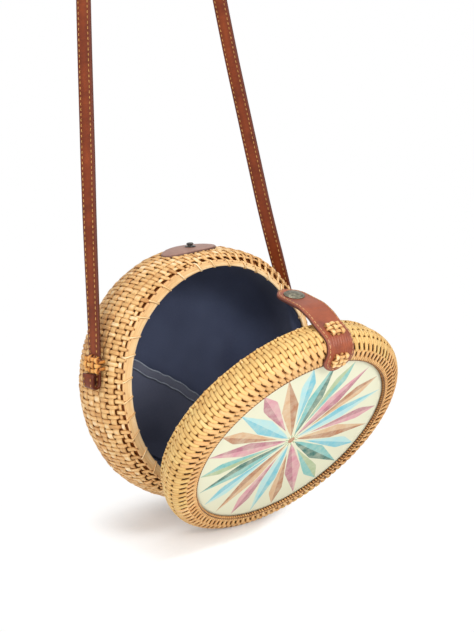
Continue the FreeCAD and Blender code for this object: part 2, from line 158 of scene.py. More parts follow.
class Nodes:
    """Shader nodes of one tree. Sockets are fed with values or with other nodes' outputs."""

    def __init__(self, tree):
        self.tree = tree

    def feed(self, socket, value):
        if isinstance(value, bpy.types.NodeSocket):
            self.tree.links.new(value, socket)
        else:
            socket.default_value = value

    def node(self, kind, inputs, **settings):
        made = self.tree.nodes.new("ShaderNode" + kind)
        for key, value in settings.items():
            setattr(made, key, value)
        for key, value in inputs.items():
            self.feed(made.inputs[key], value)
        return made

    def attribute(self, name, output):
        return self.node("Attribute", {}, attribute_name=name).outputs[output]

    def place(self):
        return self.node("TexCoord", {}).outputs["Object"]

    def stretch(self, vector, scale):
        return self.node("Mapping", {"Vector": vector, "Scale": scale}).outputs["Vector"]

    def noise(self, vector, scale, detail=2.0, roughness=0.5):
        inputs = {"Vector": vector, "Scale": scale, "Detail": detail, "Roughness": roughness}
        return self.node("TexNoise", inputs).outputs["Fac"]

    def math(self, operation, a, b):
        return self.node("Math", {0: a, 1: b}, operation=operation).outputs[0]

    def vector_math(self, operation, output, a, b=(0.0, 0.0, 0.0)):
        return self.node("VectorMath", {0: a, 1: b}, operation=operation).outputs[output]

    def ramp(self, factor, stops):
        made = self.node("ValToRGB", {"Fac": factor})
        band = made.color_ramp
        while len(band.elements) < len(stops):
            band.elements.new(0.5)
        for element, (at, shade) in zip(band.elements, stops):
            element.position = at
            element.color = paint(shade)
        return made.outputs["Color"]

    def mix(self, factor, a, b, blend="MIX"):
        return self.node("Mix", {0: factor, 6: a, 7: b}, data_type="RGBA", blend_type=blend).outputs[2]

    def spread(self, factor, low, high, start=0.0, stop=1.0, way="LINEAR"):
        inputs = {"Value": factor, "From Min": start, "From Max": stop, "To Min": low, "To Max": high}
        return self.node("MapRange", inputs, interpolation_type=way).outputs["Result"]

    def seen(self):
        """One for rays that look at the background: from the camera, off gloss or through glass."""
        rays = self.node("LightPath", {}).outputs
        either = self.math("MAXIMUM", rays["Is Camera Ray"], rays["Is Glossy Ray"])
        return self.math("MAXIMUM", either, rays["Is Transmission Ray"])


class Look(Nodes):
    """A material under construction, with its shader's own sockets given by name."""

    def __init__(self, name, **sockets):
        self.material = bpy.data.materials.new(name)
        self.material.use_nodes = True
        super().__init__(self.material.node_tree)
        self.shader = self.tree.nodes["Principled BSDF"]
        self.set(**sockets)

    def set(self, **sockets):
        for key, value in sockets.items():
            self.feed(self.shader.inputs[key.replace("_", " ")], value)

    def finish(self, colour, roughness, height, strength=0.3, distance=0.0005):
        inputs = {"Height": height, "Strength": strength, "Distance": distance}
        self.set(Base_Color=colour, Roughness=roughness, Normal=self.node("Bump", inputs).outputs["Normal"])
        return self.material


CANE_STOPS = [(0.0, "3a220e"), (0.25, "835329"), (0.5, "bc8d54"), (0.75, "deb87c"), (1.0, "f4e5c0")]
KNOT_STOPS = [(0.0, "2c1407"), (0.3, "86491a"), (0.55, "c88a40"), (0.8, "e6b468"), (1.0, "f4d596")]
LID_STOPS = [(0.0, "3c1f0a"), (0.25, "8a5a2a"), (0.5, "be9654"), (0.75, "dabb78"), (1.0, "efe1b2")]
FRONT_STOPS = [(0.0, "3c1f0a"), (0.25, "8b582d"), (0.5, "c19256"), (0.75, "deb87e"), (1.0, "f2e0b7")]
PALE_STOPS = [(0.0, "94683a"), (0.3, "cfa16a"), (0.6, "e8c48c"), (1.0, "f8e9c6")]
# The backing under the strips: its dark colours are painted shade seen through the gaps.
GAP_SHADE_STOPS = [(0.0, "63310f"), (1.0, "9c5c24")]
BLUSH = "ffdcc6"
INKS = {"ground": "d5d4bb", "teal": "6fb0ae", "deep": "3f6e66", "blue": "6db4c4", "sky": "a3cdd0",
        "pink": "c98d99", "rose": "ab6c7d", "tan": "c9a27e", "clay": "a87455", "sage": "9fb08a",
        "cream": "e0dcc2"}


def cane(name, stops, streak_share=0.2):
    """Split cane: streaks along the fibre, a tint and a blush for each strip, and broad stains. The tint also
    carries painted shade at strip edges, dived ends and under-passes.
    """
    look = Look(name, Specular_IOR_Level=0.35)
    grain = look.attribute("grain", "Vector")
    streak = look.noise(look.stretch(grain, (0.07, 1.5, 1.5)), scale=1.0, detail=3.0, roughness=0.6)
    stain = look.noise(look.place(), scale=38.0, detail=3.0, roughness=0.55)
    tone = look.math("ADD", look.attribute("tint", "Fac"), look.spread(streak, -streak_share, streak_share))
    tone = look.math("ADD", tone, look.spread(stain, low=-0.14, high=0.14))
    strip = look.noise(look.stretch(grain, (0.0, 0.0, 0.31)), scale=1.0, detail=0.0)
    blush = look.spread(strip, low=-0.25, high=0.75)
    colour = look.mix(blush, look.ramp(tone, stops), paint(BLUSH), "MULTIPLY")
    roughness = look.spread(streak, low=0.62, high=0.4)
    return look.finish(colour, roughness, streak, strength=0.35, distance=0.0004)


def leather(name, shades, edge, gloss=0.4):
    """Smooth leather with fine pores, clouded colour and darker cut edges, which the tint marks."""
    look = Look(name, Specular_IOR_Level=gloss)
    cloud = look.noise(look.place(), scale=60.0, detail=4.0, roughness=0.6)
    pores = look.node("TexVoronoi", {"Vector": look.place(), "Scale": 1500.0}).outputs["Distance"]
    along = look.stretch(look.attribute("grain", "Vector"), (0.5, 0.12, 0.5))
    crease = look.noise(along, scale=1.0, detail=3.0, roughness=0.6)
    body = look.ramp(cloud, list(zip((0.25, 0.5, 0.78), shades)))
    body = look.mix(look.spread(crease, low=0.0, high=0.35), body, paint(shades[0]), "MULTIPLY")
    colour = look.mix(look.attribute("tint", "Fac"), paint(edge), body)
    relief = look.math("ADD", look.spread(pores, low=0.0, high=0.5), crease)
    roughness = look.spread(cloud, low=0.36, high=0.54)
    return look.finish(colour, roughness, relief, strength=0.25, distance=0.0003)


def thread(name, shade, dark):
    """Twisted sewing thread."""
    look = Look(name, Specular_IOR_Level=0.25)
    twist = look.noise(look.attribute("grain", "Vector"), scale=2.2)
    colour = look.ramp(twist, [(0.3, dark), (0.7, shade)])
    return look.finish(colour, look.spread(twist, low=0.6, high=0.85), twist, strength=0.4)


def cloth(name, dark, light):
    """Plain woven cotton: crossed threads in the relief, faint slubs and fading in the colour."""
    look = Look(name, Specular_IOR_Level=0.2, Sheen_Weight=0.25, Sheen_Roughness=0.5)
    place = look.place()
    threads = {"Vector": place, "Scale": 1600.0, "Distortion": 0.6}
    warp, weft = [look.node("TexWave", threads, bands_direction=way).outputs["Fac"] for way in "XZ"]
    slub = look.noise(look.stretch(place, (500.0, 500.0, 700.0)), scale=1.0, detail=3.0)
    tone = look.math("ADD", look.spread(slub, low=-0.1, high=0.1), look.noise(place, scale=18.0))
    colour = look.ramp(tone, [(0.25, dark), (0.75, light)])
    relief = look.math("MULTIPLY", warp, weft)
    return look.finish(colour, look.spread(slub, low=0.78, high=0.95), relief, strength=0.2, distance=0.0003)


def metal(name, shades, low, high):
    """Antique plated metal: rubbed high spots over a dull patina."""
    look = Look(name, Metallic=1.0)
    patina = look.noise(look.place(), scale=420.0, detail=4.0, roughness=0.65)
    colour = look.ramp(patina, list(zip((0.3, 0.52, 0.75), shades)))
    return look.finish(colour, look.spread(patina, high, low), patina, strength=0.15, distance=0.0002)


def ink(name, shade):
    """Printed cotton: the print's colour with a faint weave and uneven ink."""
    look = Look(name, Specular_IOR_Level=0.2)
    blot = look.noise(look.place(), scale=130.0, detail=4.0, roughness=0.7)
    weave = look.noise(look.place(), scale=1400.0, detail=1.0)
    full, ground = paint(shade), paint(INKS["ground"])
    worn = tuple(0.6 * c + 0.4 * base for c, base in zip(full[:3], ground)) + (1.0,)
    colour = look.mix(look.spread(blot, low=0.0, high=1.0, start=0.35, stop=0.68), full, worn)
    return look.finish(colour, look.spread(weave, low=0.7, high=0.9), weave, strength=0.2, distance=0.0002)


GOLD_CANE = cane("gold_cane", CANE_STOPS)
KNOT_CANE = cane("knot_cane", KNOT_STOPS)
LID_CANE = cane("lid_cane", LID_STOPS, 0.1)
FRONT_CANE = cane("front_cane", FRONT_STOPS, 0.1)
PALE_CANE = cane("pale_cane", PALE_STOPS, 0.42)
GAP_SHADE_BACKING = cane("gap_shade_backing", GAP_SHADE_STOPS)
BROWN_LEATHER = leather("brown_leather", ("702c11", "914320", "aa552c"), "42180a", 0.5)
STRAP_LEATHER = leather("strap_leather_brown", ("67260a", "7e3512", "93441c"), "431706", 0.25)
TAN_LEATHER = leather("tan_leather", ("8a6255", "9c7566", "b08a78"), "4a2a20")
CREAM_THREAD = thread("cream_thread", "dcb27f", "a97a48")
TAN_THREAD = thread("tan_thread", "d0a05f", "94642f")
NAVY_CLOTH = cloth("navy_cotton", "343a50", "4a526b")
POCKET_CLOTH = cloth("pocket_cotton", "464b5e", "5f6376")
HEM_CLOTH = cloth("hem_cotton", "4f5364", "6a6d7b")
EDGE_THREAD = thread("edge_thread", "aab0ba", "7c8392")
BRASS = metal("antique_brass", ("504e44", "767263", "a09983"), 0.32, 0.5)
GUNMETAL = metal("gunmetal", ("2b2a2a", "4a4745", "86817a"), 0.25, 0.45)
BOARD = cane("panel_board", PALE_STOPS)


# Mesh building

WELD_REACH = 0.002


class Shape:
    """Points, faces and colour values of one mesh while it is put together, in millimetres."""

    def __init__(self):
        self.points, self.tints, self.grains = [], [], []
        self.faces, self.slots = [], []
        self.count = 0

    def add(self, points, faces, tint=0.5, grain=None, slot=0):
        points = np.asarray(points, float).reshape(-1, 3)
        grain = points if grain is None else np.asarray(grain, float).reshape(-1, 3)
        self.points.append(points)
        self.tints.append(np.broadcast_to(np.asarray(tint, float).reshape(-1), (len(points),)))
        self.grains.append(grain)
        self.faces += [[index + self.count for index in face] for face in faces]
        self.slots += [slot] * len(faces)
        self.count += len(points)

    def piece(self, name, materials, body, slot, *nodes, on_snap=False, weld=False, rides=True):
        """The finished object, riding on a body in place of the nodes. Weld joins points that meet."""
        mesh = bpy.data.meshes.new(name)
        points = in_row(np.concatenate(self.points), body in LID_BODIES, on_snap)
        mesh.from_pydata(points.tolist(), [], self.faces)
        for material in materials:
            mesh.materials.append(material)
        mesh.polygons.foreach_set("material_index", self.slots)
        mesh.polygons.foreach_set("use_smooth", [True] * len(self.faces))
        tint = mesh.attributes.new("tint", "FLOAT", "POINT")
        tint.data.foreach_set("value", np.concatenate(self.tints).astype(np.float32))
        grain = mesh.attributes.new("grain", "FLOAT_VECTOR", "POINT")
        grain.data.foreach_set("vector", np.concatenate(self.grains).astype(np.float32).ravel())
        work = bmesh.new()
        work.from_mesh(mesh)
        if weld:
            bmesh.ops.remove_doubles(work, verts=work.verts, dist=WELD_REACH * MM)
        bmesh.ops.recalc_face_normals(work, faces=work.faces)
        work.to_mesh(mesh)
        work.free()
        made = add_object(name, mesh)
        if rides:
            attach(made, body)
        if nodes:
            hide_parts(*nodes)
        return made


def add_object(name, data, place=(0.0, 0.0, 0.0), target=None):
    """A new object in the scene, turned to look at a target where there is one."""
    made = bpy.data.objects.new(name, data)
    bpy.context.scene.collection.objects.link(made)
    made.location = place
    if target:
        made.rotation_euler = (Vector(target) - Vector(place)).to_track_quat("-Z", "Y").to_euler()
    return made


def grid_faces(rows, columns, close_rows, close_columns):
    """Faces of a grid whose points run row by row."""
    faces = []
    for i in range(rows if close_rows else rows - 1):
        low, high = i * columns, (i + 1) % rows * columns
        for j in range(columns if close_columns else columns - 1):
            j_next = (j + 1) % columns
            faces.append([low + j, low + j_next, high + j_next, high + j])
    return faces


def cup_faces(rows, turns, both_ends=False):
    """Faces of rows of points round an axis, with the last row filled, or the first and the last."""
    ends = (0, rows - 1) if both_ends else (rows - 1,)
    return grid_faces(rows, turns, False, True) + [[row * turns + i for i in range(turns)] for row in ends]


FACES = {}


def strand_faces(rows, columns, closed):
    """Faces of a strand, with its two ends filled unless it is closed. They are kept for the next like it."""
    key = (rows, columns, closed)
    if key not in FACES:
        FACES[key] = grid_faces(rows, columns, True, True) if closed else cup_faces(rows, columns, True)
    return FACES[key]


def strand_section(left, under, ridge=(), keel=()):
    """Section of a strand, as shares of its half sizes: left side, ridge, right side, then the underside."""
    right, under_left = [[(-x, y) for x, y in reversed(half)] for half in (left, under)]
    return np.array([*left, *ridge, *right, *under, *keel, *under_left], float)


LENS = strand_section([(-1, 0), (-0.55, 0.85)], [(0.55, -0.8)])
FLAT = strand_section([(-1, -0.3), (-1, 0.5), (-0.86, 1)], [(0.86, -1)], [(0, 1)])
STRIP = strand_section([(-1, -0.1), (-0.86, 0.65), (-0.5, 0.95)], [(0.6, -0.8)])
TIGHT = strand_section([(-1, 0.3), (-0.9, 0.72), (-0.5, 0.95)], [(0.7, -0.8)])
HOOP = strand_section([(-1, -0.5), (-1, 0.45), (-0.9, 0.85), (-0.7, 1)], [(0.85, -1)], [(0, 1)])
STRAP = strand_section([(-1, -0.4), (-1, 0.4), (-0.93, 0.9), (-0.8, 1)], [(0.93, -0.9), (0.8, -1)],
                       [(0, 1)], [(0, -1)])
ROUND = np.array([(math.cos(turn), math.sin(turn)) for turn in turns_of(8)])


def strand(shape, path, normals, half_width, half_thick, tint, section=LENS, edge_tint=0.5, closed=False,
           slot=0, painted_side_light=0.0):
    """A strip of cane, leather or thread along a path, with its flat side along the normals. Edge tint
    darkens the edges: painted shade between cane strips, the dark cut edge on leather.
    """
    path = np.asarray(path, float)
    normals = np.broadcast_to(np.asarray(normals, float), path.shape)
    step_on = np.roll(path, -1, 0) - np.roll(path, 1, 0) if closed else np.gradient(path, axis=0)
    along = unit(step_on)
    across = unit(np.cross(along, normals))
    up = np.cross(across, along)
    wide = np.broadcast_to(half_width, (len(path),))[:, None] * section[:, 0]
    high = np.broadcast_to(half_thick, (len(path),))[:, None] * section[:, 1]
    points = path[:, None] + across[:, None] * wide[..., None] + up[:, None] * high[..., None]
    seed = rng.uniform(0, 400)
    grain = xyz(run_along(path)[:, None] + seed, wide, high + seed)
    # Edge tint darkens the section's edges: painted shade in the gaps between cane strips; on leather it
    # marks the dark cut edge.
    shade = np.broadcast_to(tint, (len(path),))[:, None] - edge_tint * np.abs(section[:, 0]) ** 3
    # One edge lighter and the other darker across the section: painted highlight and shade.
    shade = shade + painted_side_light * section[:, 0]
    shape.add(points, strand_faces(len(path), len(section), closed), shade, grain, slot)


def lathe(shape, outline, centre, axis, side, tint=0.5, steps=40, ring=False):
    """A form turned from (radius, height) points about an axis. The outline of a ring is closed."""
    axis, side = unit(np.asarray(axis, float)), np.asarray(side, float)
    outline = np.array(outline, float)
    turn = turns_of(steps)[:, None]
    spoke = side * np.cos(turn) + np.cross(axis, side) * np.sin(turn)
    points = np.asarray(centre) + spoke[:, None] * outline[:, 0, None] + axis * outline[:, 1, None]
    faces = grid_faces(steps, len(outline), True, ring)
    if not ring:
        faces += [[i * len(outline) + end for i in range(steps)] for end in (0, len(outline) - 1)]
    shape.add(points, faces, tint)


# Sides: start and width of a rise and of a fall, in degrees from the top. Runs: start and width.

FULL_SHARE, FULL_SIDE, FULL_RUN = 0.045, (2.0, 30.0, 42.0, 32.0), (-3.4, 6.0)
FLARE_SHARE, FLARE_SIDE, FLARE_RUN = 0.07, (44.0, 26.0, 80.0, 32.0), (1.0, 6.0)
NARROW_SHARE, NARROW_SIDE, NARROW_RUN = 0.038, (-40.0, 55.0, 75.0, 35.0), (-3.0, 7.0)
DRAWN_SHARE, DRAWN_SIDE, DRAWN_RUN = 0.043, (55.0, 50.0, 140.0, 40.0), (-3.0, 14.0)
WORN_SHARE, WORN_SIDE, WORN_RUN = 0.008, (55.0, 15.0, 120.0, 15.0), (5.0, 6.0)
OPEN_SIDE = (5.0, 50.0, 120.0, 40.0)
CLOSE_SIDE = (-100.0, 35.0, -10.0, 25.0)


def lobe(angle, side):
    """Share from 0 to 1, full on one side of the drum."""
    turn = np.degrees(np.mod(angle + math.pi, TAU) - math.pi)
    return step(turn, *side[:2]) * (1 - step(turn, *side[2:]))


def rear_lobes(angle):
    """Shares by which the rear half is fuller, flares, is drawn in, and reaches in over its hoop."""
    return (FULL_SHARE * lobe(angle, FULL_SIDE), FLARE_SHARE * lobe(angle, FLARE_SIDE),
            DRAWN_SHARE * lobe(-angle, DRAWN_SIDE), NARROW_SHARE * lobe(angle, NARROW_SIDE))


def uneven(run, angle):
    """Share by which the rear half leaves the round. It is worn flat at both sides, where the strap rubs."""
    full, flare, drawn, narrow = rear_lobes(angle)
    worn = WORN_SHARE * (lobe(angle, WORN_SIDE) + lobe(-angle, WORN_SIDE))
    share = full * step(run, *FULL_RUN) - drawn * (1 - step(run, *DRAWN_RUN))
    share = share + flare * (1 - step(run, *FLARE_RUN)) - narrow * (1 - step(run, *NARROW_RUN))
    return share - worn * step(run, *WORN_RUN)


class Meridian:
    """Outline of one half from its rim towards its axis, by the distance run along it."""

    def __init__(self, bulge, depth, side):
        run, swell = bulge - SHELL_START, MAX_RADIUS - RIM_RADIUS
        self.bulge, self.side = bulge, side
        self.lip = (run ** 2 + swell ** 2) / (2 * swell)
        self.corner = depth - bulge
        self.lip_run = self.lip * math.asin(run / self.lip)
        self.flat_start = self.lip_run + self.corner * math.pi / 2

    def at(self, run):
        """Radius, depth and outward direction at the given distances."""
        run = np.asarray(run, float)
        bend = np.where(run < self.lip_run, self.lip, self.corner)
        turn = np.minimum((run - self.lip_run) / bend, math.pi / 2)
        radius = MAX_RADIUS - bend * (1 - np.cos(turn)) - np.maximum(run - self.flat_start, 0)
        depth = self.side * (self.bulge + bend * np.sin(turn))
        over_hoop = run < 0
        radius = np.where(over_hoop, RIM_RADIUS + LIP_LIFT * np.minimum(-run, 1.0), radius)
        depth = np.where(over_hoop, self.side * (SHELL_START + run), depth)
        turn = np.where(over_hoop, 0.0, turn)
        return radius, depth, np.cos(turn), self.side * np.sin(turn)

    def run_at(self, radius):
        """Distance at which the back or front has this radius."""
        if radius <= MAX_RADIUS - self.corner:
            return self.flat_start + MAX_RADIUS - self.corner - radius
        return self.lip_run + self.corner * math.acos(1 - (MAX_RADIUS - radius) / self.corner)

    def points(self, run, angle, height):
        """Points over the outline and their outward directions."""
        radius, depth, out, fore = self.at(run)
        ring = radius + out * height
        if self.side > 0:
            ring = ring * (1 + uneven(run, angle))
        return round_axis(ring, depth + fore * height, angle), round_axis(out, fore, angle)


REAR = Meridian(REAR_BULGE, REAR_DEPTH, 1)
LID = Meridian(LID_BULGE, LID_DEPTH, -1)

# Woven shells

BASE_DEPTH, BASE_INNER, BASE_TURNS = 2.0, WALL - 0.3, 120
STRIP_HALF, RING_HALF = 0.7, 0.7
STRIP_STEP, LEAST_STEPS, END_STEPS = 1.4, 7, 4
STRIP_LIFT, LIFT_STRAY, TURN_STRAY, WIDTH_STRAY = 0.2, 0.2, 0.005, 0.1
COLUMN_STRAY, END_STRAY, HOLE_STRAY = 0.08, 0.4, 0.12
SLOT_LENGTH = 3.0
LEAN_START = 19.0
STRAY, STRAYS_ROUND = 0.8, 3
LEAST_STRIP, END_LAP = 1.6, 0.5
OPEN_SHARE = 0.16
FRONT_EASE, EDGE_EASE = (20.0, 4.0), (32.0, 2.0)
RING_DIP, SLOT_DIP = 1.0, 0.3
BARE_SHIFT, BARE_SHARE = 0.6, 0.29
STEPS_EACH = 4
FRONT_SLOT = 2


class Weave:
    """How one half is woven: its strips, its rows of holes, and how wide and loose the strips lie."""

    def __init__(self, meridian, columns, rows, tone, loose=1.0, spread=0.08, half_share=0.37, section=STRIP,
                 close_in=0.0, slant=0.0, dive=(1.5, 1.7), ring_tint=0.83, ring_height=-0.05, edge_tint=0.16,
                 dive_shade=0.3, open_side=0.0, bare_rim=False, front_run=math.inf):
        self.meridian, self.columns, self.rows, self.tone = meridian, columns, rows, tone
        self.loose, self.spread, self.half_share, self.section = loose, spread, half_share, section
        self.close_in, self.slant, self.open_side = close_in, slant, open_side
        self.dive_run, self.dive_depth = dive
        self.ring_tint, self.ring_height = ring_tint, ring_height
        self.edge_tint, self.dive_shade = edge_tint, dive_shade
        self.bare_rim, self.front_run = bare_rim, front_run
        self.phases = [rng.uniform(0, TAU) for _ in rows]

    def vary(self, amount):
        """A random share up to this amount either way, less where the weave is neat."""
        return rng.uniform(-amount, amount) * self.loose

    def leaned(self, run, angle):
        """Angle of a strip that leans to one side on the front of the lid."""
        return angle + self.slant * np.maximum(run - LEAN_START, 0.0)

    def wave(self, index, angle):
        """How far a row strays from its circle."""
        return STRAY * self.loose * np.sin(STRAYS_ROUND * angle + self.phases[index])

    def widened(self, run, passed, opened, angle):
        """Share of a strip's own width: more beside the holes it passes, less where the weave is open."""
        closer = self.close_in * (1 - 0.9 * opened + 0.7 * float(lobe(angle, CLOSE_SIDE)))
        widen = 1.0 - OPEN_SHARE * opened + 0.0 * run
        for row, hole in passed:
            if hole > SLOT_LENGTH:
                off = np.abs(run - row) / (hole / 2)
                near = 1 - smooth((off - 1.0) * hole / 2)
                more = closer * (0.45 + 0.55 * np.minimum(off, 1.0) ** 2) * near
                widen = np.maximum(widen, 1 + more - OPEN_SHARE * opened)
        if self.close_in:
            widen = widen * (1 - 0.06 * step(run, *FRONT_EASE) - 0.14 * step(run, *EDGE_EASE))
        return widen

    def strip(self, shape, first, last, angle, passed):
        """One strip lying on the outside from first to last, with both ends dived under."""
        steps = max(LEAST_STEPS, int((last - first) / STRIP_STEP) + END_STEPS)
        share = 0.5 - 0.5 * np.cos(np.linspace(0, math.pi, steps))
        run = first + (last - first) * share
        rise = smooth(np.minimum(run - first, last - run) / self.dive_run)
        height = STRIP_LIFT + self.vary(LIFT_STRAY) - self.dive_depth * (1 - rise)
        turn = self.leaned(run, angle) + self.vary(TURN_STRAY) * np.sin(share * math.pi)
        place, normal = self.meridian.points(run, turn, height)
        pitch = TAU * self.meridian.at(run)[0] / self.columns
        opened = self.open_side * float(lobe(angle, OPEN_SIDE))
        half = pitch * self.half_share * (1 + self.vary(WIDTH_STRAY)) * (0.65 + 0.35 * rise)
        half = half * self.widened(run, passed, opened, angle)
        middle = 0.5 * (first + last)
        level, drop, start, width = self.tone
        shade = level - drop * float(step(middle, start, width)) + rng.gauss(0, self.spread)
        # Strip ends darken where they dive under the next row, and strips on the lid's open side darken:
        # painted shade.
        shade = shade - self.dive_shade * (1 - rise) - 0.05 * opened
        slot = FRONT_SLOT if middle > self.front_run else 0
        strand(shape, place, normal, half, STRIP_HALF, shade, self.section, self.edge_tint, slot=slot)

    def strips(self, shape, start, stop):
        """All strips, each diving at every second row."""
        for column in range(self.columns):
            angle = TAU * (column + self.vary(COLUMN_STRAY)) / self.columns
            ends, passed = [(start, 0.0)], []
            for index, (row, hole) in enumerate(self.rows):
                place = row + float(self.wave(index, angle))
                if (index + column) % 2 == 0:
                    ends.append((place + self.vary(END_STRAY), hole * (1 + self.vary(HOLE_STRAY))))
                else:
                    passed.append((place, hole))
            ends.append((stop, 0.0))
            for (low, low_hole), (high, high_hole) in zip(ends, ends[1:]):
                first, last = low + low_hole / 2 - END_LAP, high - high_hole / 2 + END_LAP
                if last - first > LEAST_STRIP and not (self.bare_rim and last < 0.0):
                    self.strip(shape, first, last, angle, passed)

    def rings(self, shape, share=0.46):
        """Coils of cane round the half, which pass over every second strip."""
        angle = turns_of(STEPS_EACH * self.columns)
        strips_on = np.arange(len(angle)) / STEPS_EACH
        for index, (row, hole) in enumerate(self.rows):
            first_bare = self.bare_rim and index == 0
            run = row + self.wave(index, angle) + (BARE_SHIFT if first_bare else 0.0)
            over = (np.cos(math.pi * (strips_on - index)) + 1) / 2
            height = self.ring_height - RING_DIP + RING_DIP * smooth(over)
            place, normal = self.meridian.points(run, self.leaned(run, angle), height)
            tone = np.array([rng.gauss(0, self.spread) for _ in range(self.columns // 2)])
            cell = ((strips_on - index + 1) // 2).astype(int) % len(tone)
            # Rings darken where they pass under the strips: painted shade.
            shade = self.ring_tint + tone[cell] - 0.32 * (1 - over) - 0.12 * float(smooth(row / 80.0))
            # In the lid's long slots the rings sink and darken further: painted shade in the slots.
            if self.close_in and hole > SLOT_LENGTH:
                place, shade = place - SLOT_DIP * normal, shade - 0.1
            half = (BARE_SHARE if first_bare else share) * hole * (1 + 0.06 * np.sin(9 * angle + index))
            if first_bare:
                half = half * (1 + 0.5 * lobe(angle, FLARE_SIDE) + 0.3 * lobe(angle, NARROW_SIDE))
            strand(shape, place, normal, half, RING_HALF, shade, STRIP, edge_tint=0.2, closed=True)


def base_shell(shape, meridian, start, stop, steps):
    """Closed backing under the strips, down to the inside of the wall, coloured dark as painted shade seen
    through the gaps.
    """
    run, angle = np.linspace(start, stop, steps)[:, None], turns_of(BASE_TURNS)
    outer, _ = meridian.points(run, angle, -BASE_DEPTH)
    inner, _ = meridian.points(run[::-1], angle, -BASE_INNER)
    points = np.concatenate([outer, inner])
    shape.add(points, grid_faces(len(points), BASE_TURNS, True, True), slot=1)


REAR_COLUMNS = 150
FIRST_ROW, FIRST_HOLE = 1.2, 5.2
SECOND_ROW, REAR_PITCH, REAR_HOLE = 8.2, 7.5, 6.6
WEAVE_START, BASE_START, ROWS_START = -3.4, -2.2, 8.0
WALL_INNER = 67.0
WALL_END = REAR.run_at(WALL_INNER)
REAR_TONE = (0.77, 0.1, 0.0, 80.0)
BACK_ZONES = [(WALL_INNER, 38.0, 92), (38.0, 18.0, 50), (18.0, 4.5, 22)]
BACK_PITCH, BACK_HOLE_SHARE, ZONE_LAP = 7.0, 0.85, 1.0
BACK_MIDDLE = 1.0
ZONE_RING_LIFT, ZONE_RING_HALF = 0.35, 1.6
BUTTON = [(0.4, 0.9), (2.6, 0.7), (4.6, 0.1), (5.4, -0.9), (0.4, -1.4)]
BUTTON_Y = REAR_DEPTH + 0.4


def rear_weave():
    shape = Shape()
    count = int((WALL_END - ROWS_START) / REAR_PITCH) + 1
    rows = [(FIRST_ROW, FIRST_HOLE)] + [(SECOND_ROW + REAR_PITCH * k, REAR_HOLE) for k in range(count)]
    woven = Weave(REAR, REAR_COLUMNS, rows, REAR_TONE, half_share=0.39, edge_tint=0.28, dive_shade=0.45,
                  bare_rim=True)
    woven.strips(shape, WEAVE_START, WALL_END)
    woven.rings(shape)
    base_shell(shape, REAR, BASE_START, WALL_END, steps=30)
    shape.piece("rear_wall_weave", [GOLD_CANE, GAP_SHADE_BACKING], "rear_half", "cane", "rear_shell")


def back_weave():
    """The flat back, woven in rings of strips round a button."""
    shape = Shape()
    for outer, inner, columns in BACK_ZONES:
        start, stop = REAR.run_at(outer), REAR.run_at(inner)
        count = max(1, round((stop - start) / BACK_PITCH))
        pitch = (stop - start) / count
        rows = [(start + pitch * (k + 0.5), BACK_HOLE_SHARE * pitch) for k in range(count)]
        woven = Weave(REAR, columns, rows, REAR_TONE, loose=0.7)
        woven.strips(shape, start - ZONE_LAP, stop + ZONE_LAP)
        woven.rings(shape)
        angle = turns_of(2 * columns)
        place, normal = REAR.points(np.full(len(angle), start), angle, ZONE_RING_LIFT)
        strand(shape, place, normal, ZONE_RING_HALF, RING_HALF, tint=0.62, closed=True)
    base_shell(shape, REAR, WALL_END - ZONE_LAP, REAR.run_at(BACK_MIDDLE), steps=20)
    lathe(shape, BUTTON, (0, BUTTON_Y, 0), (0, 1, 0), (1, 0, 0), tint=0.6, steps=24)
    shape.piece("rear_back_weave", [GOLD_CANE, GAP_SHADE_BACKING], "rear_half", "cane")


LID_COLUMNS = 212
LID_ROWS = [(-1.6, 1.5), (4.4, 1.6), (11.4, 1.7), (17.1, 1.8), (24.9, 5.2), (30.6, 4.9)]
LID_TONE = (0.74, 0.03, 20.0, 6.0)
CORD_IN, CORD_HALF, CORD_THICK, CORD_TURNS = 0.4, 0.5, 1.0, 240


def lid_weave():
    shape = Shape()
    stop = LID.run_at(PANEL_OPENING)
    # The lid's low ring tint keeps its sunken rings dark: painted shade of their depth.
    woven = Weave(LID, LID_COLUMNS, LID_ROWS, LID_TONE, loose=0.2, spread=0.03, half_share=0.505,
                  section=TIGHT, close_in=0.5, slant=0.0045, dive=(1.1, 1.8), ring_tint=0.4, ring_height=-1.2,
                  open_side=1.0, edge_tint=0.28, front_run=23.0)
    woven.strips(shape, WEAVE_START, stop)
    woven.rings(shape, share=0.4)
    base_shell(shape, LID, BASE_START, stop, steps=24)
    # A cord round the panel's opening, tinted near the darkest cane: painted shade along the panel's border.
    angle = turns_of(CORD_TURNS)
    place, normal = LID.points(np.full(CORD_TURNS, stop - CORD_IN), angle, 0.0)
    strand(shape, place, normal, CORD_HALF, CORD_THICK, 0.12, ROUND, edge_tint=0.0, closed=True)
    shape.piece("lid_weave", [LID_CANE, GAP_SHADE_BACKING, FRONT_CANE], "lid", "cane", "lid_shell")


# Rim hoops and lashings

HOOP_BACK = 2.6
HOOP_MIDDLE = (RIM_RADIUS + MOUTH_RADIUS) / 2
HOOP_FACE = RIM_RADIUS - MOUTH_RADIUS
LASHING_COUNT, LASHING_SLANT = 37, 0.043
LASHING_HALF, LASHING_THICK = 0.85, 0.4

